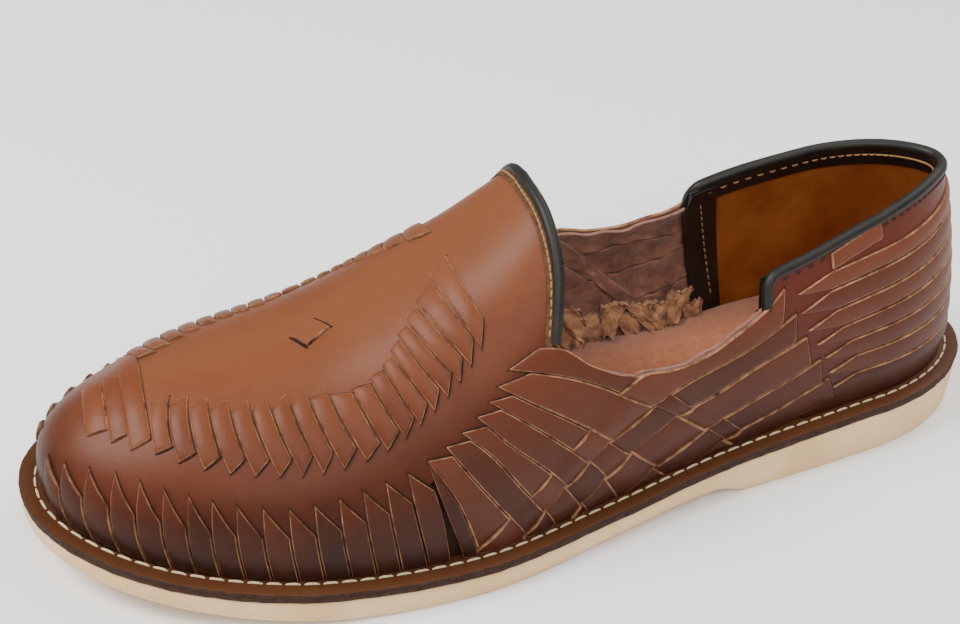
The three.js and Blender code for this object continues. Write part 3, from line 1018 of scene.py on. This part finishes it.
def vamp_lift(t, v):
    """Soft hollow between the petals and the tabs, soft swell at the middle of the toe."""
    turn = np.minimum(t, 1 - t)
    swell = 0.5 * np.sin(np.pi * np.clip((v - 0.62) / 0.38, 0, 1)) * ease((0.47 - turn) / 0.1)
    return swell * ease((turn - 0.275) / 0.03) - 0.15


vamp = skin("vamp_leather", 260, 60, vamp_place, VAMP_THICK, vamp_lift)
finish_piece(vamp, [vamp_hide, flesh, cut_edge], ["upper"])

petal_hide = cut_leather(26.0, 8.0, STRIP_THICK, 12, 6, edge_round=0.33)
SLANT = [(0, 0.42), (10, 0.40), (14, 0.32), (17, 0.22)]
slant = through(SLANT, 1)
GAP_PETAL = 15  # the cut behind this one stands open
GAP_LINE = line([(0.3065, 0.34), (0.3008, 0.17), (0.2970, 0.0)])


def petal_route(number, side):
    after = petal_line(number + 1) if number + 1 < PETALS else LONG_LINES[0]
    second = GAP_LINE if number == GAP_PETAL else after
    return between(petal_line(number), second, (0.0, float(slant(number))), WHOLE, 0.035,
                   petal_lift, side)


petals = lay("petals", petal_hide, on_both_sides(PETALS, petal_route))
finish_piece(petals, VAMP_SET)

long_hide = cut_leather(60.0, 6.0, STRIP_THICK, 48, 6, edge_round=0.3)
LONG_CUT = (0.0, 0.09)  # parts of their lines where the strips' ends are cut
CROSS_CUT = (0.0, 0.06)


def long_route(number, side):
    lift = weave_lift(number, cross_index, 1, high=1.0, reach=0.2)
    return strip_route(LONG_LINES, number, LONG_CUT, 0.015, lift, side)


long_strips = lay("long_strips", long_hide, on_both_sides(len(LONG_LINES) - 1, long_route))
finish_piece(long_strips, WEAVE_SET)


def cross_route(number, side):
    lift = weave_lift(number, long_index, -1, high=0.85, reach=0.3)
    return strip_route(CROSS_LINES, number, CROSS_CUT, 0.02, lift, side)


cross_strips = lay("counter_strips", long_hide, on_both_sides(len(CROSS_LINES) - 1, cross_route))
finish_piece(cross_strips, WEAVE_SET)

# ---------------------------------------------------------------- tabs round the vamp's middle
TABS = 18
# Ends of the lines between the tabs: number, turn and level.
UPPER_ENDS = [(0, 0.441, 0.785), (2, 0.414, 0.775), (4, 0.389, 0.74), (6, 0.370, 0.727), (8, 0.354, 0.73),
              (9, 0.344, 0.695), (10, 0.334, 0.67), (12, 0.323, 0.70), (14, 0.3185, 0.775), (16, 0.312, 0.85),
              (18, 0.300, 0.957)]
LOWER_ENDS = [(0, 0.413, 0.508), (2, 0.387, 0.452), (5, 0.3565, 0.415), (8, 0.3335, 0.408),
              (10, 0.319, 0.422), (13, 0.3035, 0.475), (16, 0.291, 0.54), (18, 0.284, 0.605)]
upper_turn = through(UPPER_ENDS, 1)
upper_level = through(UPPER_ENDS, 2)
lower_turn = through(LOWER_ENDS, 1)
lower_level = through(LOWER_ENDS, 2)


def tab_line(number):
    return straight((float(upper_turn(number)), float(upper_level(number))),
                    (float(lower_turn(number)), float(lower_level(number))))


def tab_lift(t, v, along, across):
    ends = np.minimum(along, 1 - along)
    return 0.6 + 0.3 * np.sin(np.pi * across) + 0.2 * ease(ends / 0.3)


def tab_cuts(number):
    """Parts of a tab's two lines where its upper and its lower end are cut."""
    late = float(ease((number - 7) / 3))
    return (mix(0.18, 0.0, late), mix(0.0, 0.07, late)), (1.0, mix(0.78, 0.86, late))


def tab_route(number, side):
    return between(tab_line(number), tab_line(number + 1), *tab_cuts(number), 0.045, tab_lift, side)


tab_hide = cut_leather(26.0, 6.5, STRIP_THICK, 12, 6, edge_round=0.4)
tabs = lay("vamp_tabs", tab_hide, on_both_sides(TABS, tab_route))
finish_piece(tabs, VAMP_SET)

# Three straps over the tip of the toe: upper left and right, lower left and right corners.
TOE_STRAPS = [
    ((0.531, 0.555), (0.504, 0.711), (0.463, 0.497), (0.451, 0.580)),
    ((0.534, 0.664), (0.510, 0.797), (0.4425, 0.515), (0.4345, 0.590)),
    ((0.580, 0.500), (0.570, 0.700), (0.428, 0.505), (0.4195, 0.575)),
]
VAMP_TOP = BVHTree.FromObject(vamp, bpy.context.evaluated_depsgraph_get())
ABOVE = 0.2  # a height in metres over the whole shoe


def on_vamp(x, y, off):
    """Points off mm over the vamp, straight above or below places in plan."""
    plan = settle(np.column_stack([x, y, np.zeros(len(x))]))
    laid = []
    for place, lift in zip(plan, np.broadcast_to(off, len(x))):
        hit, normal, _, _ = VAMP_TOP.ray_cast(Vector((place[0], place[1], ABOVE)), Vector((0, 0, -1)))
        laid.append(np.array(hit + normal * (lift * MM)))
    return (np.array(laid) - SHIFT) / MM


# Its level places the strip on its hide's colour ramp, from painted shade low to painted highlight high.
def plan_patch(corner, level):
    """Route of a flat strip with four corners in plan: upper left and right, lower left and right."""
    upper_left, upper_right, lower_left, lower_right = [np.array(c, float) for c in corner]

    def route(along, across, depth):
        share = mix(0.03, 0.97, across)[:, None]
        top = mix(upper_left, upper_right, share)
        foot = mix(lower_left, lower_right, share)
        place = mix(top, foot, along[:, None])
        return on_vamp(place[:, 0], place[:, 1], depth + tab_lift(0, 0, along, across)), level

    return route


def toe_strap(corner):
    t, v = np.array(corner).T
    return plan_patch(last(t, v, 0)[:, :2], 0.66)


toe_straps = lay("toe_straps", long_hide, [toe_strap(corner) for corner in TOE_STRAPS])
finish_piece(toe_straps, VAMP_SET)

WINDOW = (217.0, 2.7)  # its middle in plan
WINDOW_SIZE = 8.0
WINDOW_TURN = math.radians(24)


def window_corner(along, across):
    x = WINDOW_SIZE * (math.cos(WINDOW_TURN) * along - math.sin(WINDOW_TURN) * across) / 2
    y = WINDOW_SIZE * (math.sin(WINDOW_TURN) * along + math.cos(WINDOW_TURN) * across) / 2
    return WINDOW[0] + x, WINDOW[1] + y


window_strap = lay("window_strap", tab_hide, [
    plan_patch([window_corner(*c) for c in ((1, -0.9), (1, 0.9), (-1, -0.9), (-1, 0.9))], 0.95)])
finish_piece(window_strap, VAMP_SET)

SLOT_WIDTH = 0.75
WIDE_SLOT = 1.1
SLOT_LIFT = 0.14


def slot_route(first, second, cuts, inward, side, width=SLOT_WIDTH):
    """A thin dark strip in the cut beside a strip's end, a painted shadow; inward is 1 where the strip runs
    on to larger parts of its lines.
    """
    def route(along, across, depth):
        ends = []
        for each, cut in ((first, cuts[0]), (second, cuts[1])):
            t, v = each(cut)
            inside_t, inside_v = each(cut + inward * 0.05)
            away = np.array([t - inside_t, v - inside_v])
            away = away / (math.hypot(away[0] * TURN_MM, away[1] * LEVEL_MM) + 1e-9) * width
            ends.append((np.array([t, v], float), away))
        slim = np.sin(np.pi * np.clip(along, 0, 1)) ** 0.5 * (across - 0.2)
        share = mix(-0.04, 1.04, along)
        t = mix(ends[0][0][0], ends[1][0][0], share) + slim * mix(ends[0][1][0], ends[1][1][0], share)
        v = mix(ends[0][0][1], ends[1][0][1], share) + slim * mix(ends[0][1][1], ends[1][1][1], share)
        t, v = to_side(t, v, side)
        return loft(t, v, depth + SLOT_LIFT), v

    return route


# Thin dark strips along the strips' cut ends: painted shadow in the slot openings.
slot_hide = cut_leather(7.0, 0.8, 0.4, 8, 2, edge_round=0.05)
slot_routes = []
for _, side in SIDES:
    for number in range(TABS):
        for cuts, inward in zip(tab_cuts(number), (1, -1)):
            slot_routes.append(slot_route(tab_line(number), tab_line(number + 1), cuts, inward, side))
    for number in range(PETALS - 1):
        cuts = (0.0, float(slant(number)))
        slot_routes.append(slot_route(petal_line(number), petal_line(number + 1), cuts, 1, side))
    for lines, cuts, width in ((LONG_LINES, LONG_CUT, SLOT_WIDTH), (CROSS_LINES, CROSS_CUT, WIDE_SLOT)):
        for first, second in zip(lines, lines[1:]):
            slot_routes.append(slot_route(first, second, cuts, 1, side, width))
slots = lay("slots", slot_hide, slot_routes)
finish_piece(slots, SLOT_SHADOW_SET)


def window_cut(end):
    """A painted shadow strip across the cut at one end of the window's strap."""
    near = end
    far = 1.16 * end
    corner = ((near, -1.0), (far, -0.95), (near, 1.0), (far, 0.95))
    patch = plan_patch([window_corner(*c) for c in corner], 0.9)

    def route(along, across, depth):
        return patch(along, across, depth - 0.62)

    return route


window_cuts = lay("window_cuts", slot_hide, [window_cut(1), window_cut(-1)])
finish_piece(window_cuts, SLOT_SHADOW_SET)

# ---------------------------------------------------------------- inside of the quarters
INNER = -2.0  # lift of the strips' inside
BACKING_SPAN = (0.165, 0.322)  # turns between which it lies
BACKING_LIFT = -1.35
BACKING_THICK = 0.6


def backing_place(side):
    """The quarter's backing behind the weave, from the counter to the vamp."""
    def place(a, b):
        t = mix(*BACKING_SPAN, a)
        own_top = quarter_level(np.clip(t, COUNTER_TURN, VAMP_TURN), side)
        under_vamp = mix(own_top, 0.62, ease((t - VAMP_TURN) / 0.01))
        v = mix(FOOT_LEVEL, mix(under_vamp - 0.018, 0.3, ease((t - 0.297) / 0.02)), b)
        return side_turn(t, side), v

    return place


# The backing's outer face takes the slot's near-black finish: painted shade seen through the gaps of the
# weave.
for side_name, side in SIDES:
    backing = skin(f"{side_name}_backing", 60, 16, backing_place(side), BACKING_THICK, BACKING_LIFT)
    finish_piece(backing, [slot_painted_shadow, flesh, flesh])


def flesh_lift(number):
    """Inside of the weave, each strip thick and lumpy."""
    def lift(t, v, along, across):
        weave = np.sin(np.pi * cross_index(t, v)) * (1 if number % 2 else -1)
        lumps = 0.35 * np.sin(along * 37 + number * 2.1) * np.sin(across * 7 + number)
        creases = 0.3 * np.sin(along * 61 + across * 5 + 2 * np.sin(across * 6 + number))
        sunk = 0.7 * ease((0.12 - along) / 0.08)
        return INNER + 0.25 + 0.55 * weave + lumps + creases + sunk

    return lift


INNER_STARTS = (0.04, 0.07, 0.11, 0.19, 0.31)  # where each line comes out from under the tape
inner_routes = []
for _, side in SIDES:
    for number in range(len(LONG_LINES) - 1):
        inner_routes.append(strip_route(LONG_LINES, number, (0.1, 0.12), 0.05, flesh_lift(number), side))
    for number in range(len(CROSS_LINES) - 2):
        starts = INNER_STARTS[number:number + 2]
        inner_routes.append(strip_route(CROSS_LINES, number, starts, 0.03, flesh_lift(number + 1), side))
inner_strips = lay("inner_strips", long_hide, inner_routes)
finish_piece(inner_strips, [flesh] * 3)

TORN_ENDS = 14
TORN_SPAN = (0.179, 0.292)  # turns between which they lie
TORN_REACH = (11.5, 18.0)  # how high above the insole the two rows of ends begin
TORN_LONG = 11.0
TORN_WIDE = 9.0
torn_hide = cut_leather(10.0, TORN_WIDE, 2.6, 12, 10, edge_round=0.9)


def torn_route(number, row, side):
    """The ragged end of a strip on the inside, swollen and torn where it was trimmed."""
    place = (number + 0.5 * row) / (TORN_ENDS - 1)
    middle = mix(*TORN_SPAN, place)
    reach = TORN_REACH[row] * mix(0.55, 1.0, place) * (1 + 0.16 * math.sin(number * 2.4 + row * 1.3))
    footing = float(last(side_turn(middle, side), 0.0, 0.0)[2]) + INSOLE_RISE
    swing = 0.007 * math.sin(number * 1.9 + row)

    def route(along, across, depth):
        width = mix(1.0, 0.35, along ** 1.4)
        t = middle + as_turn(TORN_WIDE) * width * (across - 0.5) + swing * along
        ragged = 0.6 * np.sin(across * 9 + number) + 0.5 * np.sin(across * 23 - number)
        height = footing + mix(reach, reach - TORN_LONG, along) + ragged
        lumps = 0.6 * np.sin(along * 6 + number * 1.7) * np.sin(across * 5 + row) \
            + 0.35 * np.sin(along * 13 + across * 9 + number) + 0.15 * np.sin(along * 33 - across * 27)
        round_off = 1.2 * (2 * across - 1) ** 4 + 0.9 * (2 * along - 1) ** 4
        curl = 1.6 * along ** 2 * (row + 0.2)
        off = INNER - 1.1 - curl + depth * 0.8 + (lumps - round_off) * np.where(depth < -1.3, -1, 1)
        own_t = side_turn(t, side)
        level = rise_to(own_t, height)
        return loft(own_t, level, off), level

    return route


torn_ends = lay("torn_ends", torn_hide, [torn_route(number, row, side) for _, side in SIDES
                                         for row in (0, 1) for number in range(TORN_ENDS)])
finish_piece(torn_ends, [raw_ends] * 3)

# ---------------------------------------------------------------- counter
PANEL_FRONT = [(-0.02, 0.163), (0.165, 0.177), (0.273, 0.187), (0.350, 0.190), (0.40, 0.1943), (1.0, 0.1943)]
panel_front = through(PANEL_FRONT, 1)
COLLAR_CORNER = 5.0  # rounding of the collar's front corners
PANEL_DROP = 1.5  # the panel's edge lies inside the bead


def collar_round(t, drop):
    """Level drop mm below the collar's edge, at a turn that is negative on the medial side."""
    return np.where(t >= 0, collar_level(np.abs(t), 1, drop), collar_level(np.abs(t), -1, drop))


def counter_place(a, b):
    """a runs round the heel from the medial front to the lateral one, b from the foot to the collar."""
    way = np.where(a >= 0.5, 1, -1)
    turn = np.abs(2 * a - 1)
    front = COUNTER_TURN - as_turn(BEAD)
    v = mix(FOOT_LEVEL, collar_round(way * turn * front, PANEL_DROP), b)
    t = turn * np.minimum(panel_front(v), front)
    near_front = np.clip((t - front) / as_turn(COLLAR_CORNER) + 1, 0, 1)
    drop = PANEL_DROP + COLLAR_CORNER * (1 - np.sqrt(1 - near_front ** 2))
    return way * t, mix(FOOT_LEVEL, collar_round(way * t, drop), b)


counter = skin("heel_counter", 160, 40, counter_place, thick=WALL)
finish_piece(counter, [panel_hide, lining_hide, cut_edge])

# Slits of the heel: station and height of the front end, height at the back.
SLITS = [(66.5, 65.5, 76.0), (67.0, 60.0, 70.5), (65.0, 53.5, 63.0), (62.5, 47.5, 55.5), (59.0, 42.0, 47.5),
         (56.5, 36.0, 39.0), (55.5, 29.5, 30.5), (52.5, 23.5, 24.0)]


def slit(number):
    front_x, front_z, back_z = SLITS[number]
    front_turn = float(turn_at(front_x))

    def at(part):
        turn = part * front_turn
        height = mix(back_z, front_z, (station(np.abs(turn)) / front_x) ** 0.8)
        return turn, rise_to(turn, height)

    return at


def heel_route(number):
    upper_slit = slit(number)
    lower_slit = slit(number + 1)

    def route(along, across, depth):
        reach = 2 * along - 1
        point = 1 + 0.10 * (0.5 - np.abs(across - 0.5)) * 2
        held = reach * mix(1.0, point, np.abs(reach) ** 6)
        t1, v1 = upper_slit(held)
        t2, v2 = lower_slit(held)
        share = mix(0.05, 0.95, across)
        t = mix(t1, t2, share)
        v = mix(v1, v2, share)
        swell = 0.7 + 0.3 * np.sin(np.pi * across) - 0.25 * np.abs(reach) ** 8
        return loft(t, v, depth + swell), v

    return route


heel_hide_flat = cut_leather(160.0, 6.0, STRIP_THICK, 110, 6, edge_round=0.36)
heel_strips = lay("heel_strips", heel_hide_flat, [heel_route(k) for k in range(len(SLITS) - 1)])
finish_piece(heel_strips, HEEL_SET)

# Ends of the strap over the uppermost slit: station, upper and lower height.
STRAP_FRONT = np.array([66.0, 70.5, 65.8])
STRAP_BACK = np.array([46.0, 76.0, 71.0])
STRAP_RISE = {1: 0.0, -1: 1.4}  # the collar is higher on the medial side


def strap_route(side):
    def route(along, across, depth):
        x, high, low_edge = [mix(a, b, along) for a, b in zip(STRAP_FRONT, STRAP_BACK)]
        t = side_turn(turn_at(x), side)
        v = rise_to(t, mix(high, low_edge, across) + STRAP_RISE[side])
        return loft(t, v, depth + 0.6 + 0.25 * np.sin(np.pi * across)), v

    return route


strap = lay("counter_strap", tab_hide, [strap_route(side) for _, side in SIDES])
finish_piece(strap, HEEL_SET)

# ---------------------------------------------------------------- bindings
def vamp_bead_path():
    """Points along the vamp's edge, from the lateral quarter over the ridge to the medial one."""
    v = np.linspace(0, 1, 80)
    lateral_v = mix(VAMP_FEET[1] + 0.008, 1.0, v)
    medial_v = mix(1.0, VAMP_FEET[-1] + 0.008, v[1:])
    lateral_t = vamp_edge(lateral_v, EDGE_FORWARD)
    medial_t = 1 - vamp_edge(medial_v, EDGE_FORWARD)
    off = MIDDLE + 0.5
    return np.concatenate([last(lateral_t, lateral_v, off), last(medial_t, medial_v, off)])


vamp_bead = rod("vamp_bead", vamp_bead_path(), BEAD)
finish_piece(vamp_bead, [binding], ["vamp_binding"], degrees=60)


def collar_path(drop, off):
    """Points along the collar's edge, up its lateral front, round the heel and down the medial one."""
    front = COUNTER_TURN - as_turn(drop)
    rows = []
    for _, side in SIDES:
        foot = float(quarter_level(COUNTER_TURN, side)) - 0.01
        top = float(collar_level(front, side, drop + COLLAR_CORNER))
        up = [(front, mix(foot, top, k / 10)) for k in range(11)]
        bend = []
        for k in range(1, 7):
            angle = k / 7 * math.pi / 2
            back = front - as_turn(COLLAR_CORNER * (1 - math.cos(angle)))
            lower = drop + COLLAR_CORNER * (1 - math.sin(angle))
            bend.append((back, float(collar_level(back, side, lower))))
        end = front - as_turn(COLLAR_CORNER)
        along = [(t, float(collar_level(t, side, drop))) for t in np.linspace(end, 0, 60)]
        rows.append([(side_turn(t, side), v) for t, v in up + bend + along])
    path = rows[0] + rows[1][-2::-1]
    t, v = np.array(path).T
    return last(t, v, off)


collar_bead = rod("collar_bead", collar_path(BEAD, MIDDLE + 0.1), BEAD)
finish_piece(collar_bead, [binding], ["collar_binding"], degrees=60)

# Tape on the inside: along the collar, and down from its corners to the insole.
TAPE_THICK = 0.5
COLLAR_TAPE = 8.0
FRONT_TAPE = 11.0
TAPE_LIFT = -WALL - 0.3
FRONT_TAPE_LIFT = TAPE_LIFT - 0.6
TAPE_LEAN = 10.0  # how far back the foot of a front tape lies
THREAD_INSIDE = TAPE_THICK + 0.1  # from the tape's outer face to the thread on its inner one
FINE_THREAD = 0.6
COLLAR_SEAM_DROP = 4.3


def collar_tape_place(a, b):
    t = mix(-1.0, 1.0, a) * (COUNTER_TURN - as_turn(1.0))
    drop = mix(COLLAR_TAPE, 1.2, b)
    return t, collar_round(t, drop)


collar_tape = skin("collar_tape", 120, 6, collar_tape_place, TAPE_THICK, TAPE_LIFT)
finish_piece(collar_tape, TAPE_SET)


def front_tape_place(side):
    def place(a, b):
        t = COUNTER_TURN + as_turn(mix(1.0, -FRONT_TAPE, a))
        top = collar_level(np.minimum(t, COUNTER_TURN), side, PANEL_DROP)
        low_end = 0.02 + 0.01 * np.sin(a * 23)
        high_end = np.where(t > COUNTER_TURN - as_turn(0.5), quarter_level(COUNTER_TURN, side), top)
        return side_turn(t - as_turn(TAPE_LEAN) * (1 - b), side), mix(low_end, high_end, b)

    return place


for side_name, side in SIDES:
    tape = skin(f"{side_name}_front_tape", 10, 24, front_tape_place(side), TAPE_THICK, FRONT_TAPE_LIFT)
    finish_piece(tape, TAPE_SET)


def inside_out(seam):
    """The same seam, seen from inside the shoe."""
    def turned_in(s):
        place, run, up = seam(s)
        return place, run, -up

    return turned_in


def collar_seam_place(s):
    t = mix(-1.0, 1.0, s) * (COUNTER_TURN - as_turn(6.0))
    return t, collar_round(t, COLLAR_SEAM_DROP)


inner_seam = inside_out(seam_on(collar_seam_place, TAPE_LIFT - THREAD_INSIDE))
inner_stitches = sew("collar_inner_stitches", inner_seam, 62, length=2.2, thick=FINE_THREAD)
finish_piece(inner_stitches, [edge_thread])
outer_seam = seam_on(collar_seam_place, 0.05)
outer_stitches = sew("collar_outer_stitches", outer_seam, 62, length=2.4, thick=FINE_THREAD)
finish_piece(outer_stitches, [dark_thread])


def tape_seam_place(side):
    def place(s):
        t = COUNTER_TURN + as_turn(-FRONT_TAPE / 2 - TAPE_LEAN * (1 - s))
        return side_turn(t, side), mix(0.08, float(collar_level(COUNTER_TURN, side, 7.0)), s)

    return place


for side_name, side in SIDES:
    tape_seam = inside_out(seam_on(tape_seam_place(side), FRONT_TAPE_LIFT - THREAD_INSIDE))
    row = sew(f"{side_name}_tape_stitches", tape_seam, 14, length=2.0, thick=FINE_THREAD)
    finish_piece(row, [edge_thread])

# Turned strip beside the vamp's bead, with its seam.
STRIP_WIDTH = (1.4, 4.2)
SEAM_FORWARD = 2.9


def vamp_round(s, forward):
    """Along the vamp's edge from the lateral quarter over the ridge to the medial one."""
    s = np.asarray(s, float)
    low = np.where(s < 0.5, VAMP_FEET[1], VAMP_FEET[-1]) + 0.01
    v = mix(low, 1.0, 1 - np.abs(2 * s - 1))
    t = vamp_edge(v, forward)
    return np.where(s < 0.5, t, 1 - t), v


def vamp_strip_place(a, b):
    return vamp_round(a, mix(STRIP_WIDTH[0], STRIP_WIDTH[1], b))


vamp_strip = skin("vamp_edge_strip", 120, 3, vamp_strip_place, thick=0.7, lift=0.35)
finish_piece(vamp_strip, [turned_edge] * 3)


def vamp_seam(s):
    return vamp_round(np.clip(s, 0, 1), SEAM_FORWARD)


vamp_stitches = sew("vamp_edge_stitches", seam_on(vamp_seam, 0.45), 46, length=2.1, thick=FINE_THREAD,
                    parts=(0.02, 0.98))
finish_piece(vamp_stitches, [edge_thread])

# ---------------------------------------------------------------- floor, light and camera
AZIMUTH = math.radians(21.94)
ELEVATION = math.radians(34.69)
ROLL = math.radians(2.59)
DISTANCE = 424.7
AIM = (150.0, 0.0, 40.0)
SLIDE = (-15.39, 8.19)
LENS = 54.3

back = Vector((math.sin(AZIMUTH) * math.cos(ELEVATION), math.cos(AZIMUTH) * math.cos(ELEVATION),
               math.sin(ELEVATION)))
right = Vector((0, 0, 1)).cross(back).normalized()
upward = back.cross(right)
camera_x = right * math.cos(ROLL) + upward * math.sin(ROLL)
camera_y = upward * math.cos(ROLL) - right * math.sin(ROLL)
eye = Vector(AIM) + camera_x * SLIDE[0] + camera_y * SLIDE[1] + back * DISTANCE
camera_data = bpy.data.cameras.new("camera")
camera_data.sensor_width = 36
camera_data.lens = LENS
camera_data.clip_start = 0.01
camera = bpy.data.objects.new("camera", camera_data)
turned = Matrix((camera_x, camera_y, back)).transposed().to_4x4()
camera.matrix_world = Matrix.Translation(Vector(settle(np.array(eye)))) @ turned
bpy.context.scene.collection.objects.link(camera)
bpy.context.scene.camera = camera

bpy.ops.object.select_all(action="DESELECT")
bpy.ops.mesh.primitive_plane_add(size=12)
floor = bpy.context.object
floor.name = "floor"
floor.data.materials.append(studio_white())


TARGET = Vector((0, 0, 0.04))


def softbox(name, place, size, power):
    light = bpy.data.lights.new(name, "AREA")
    light.size = size
    light.energy = power
    lamp = bpy.data.objects.new(name, light)
    lamp.location = place
    lamp.rotation_euler = (Vector(place) - TARGET).to_track_quat("Z", "Y").to_euler()
    bpy.context.scene.collection.objects.link(lamp)


softbox("key over the toe", (0.9, -0.1, 1.2), size=0.6, power=26)
softbox("fill from behind", (-0.9, -0.3, 1.3), size=1.2, power=14)
softbox("front fill", (0.1, 1.1, 1.4), size=1.2, power=20)
world = bpy.data.worlds.new("studio")
world.use_nodes = True
world.node_tree.nodes["Background"].inputs["Color"].default_value = linear("#FFFFFF")
world.node_tree.nodes["Background"].inputs["Strength"].default_value = 0.5
bpy.context.scene.world = world
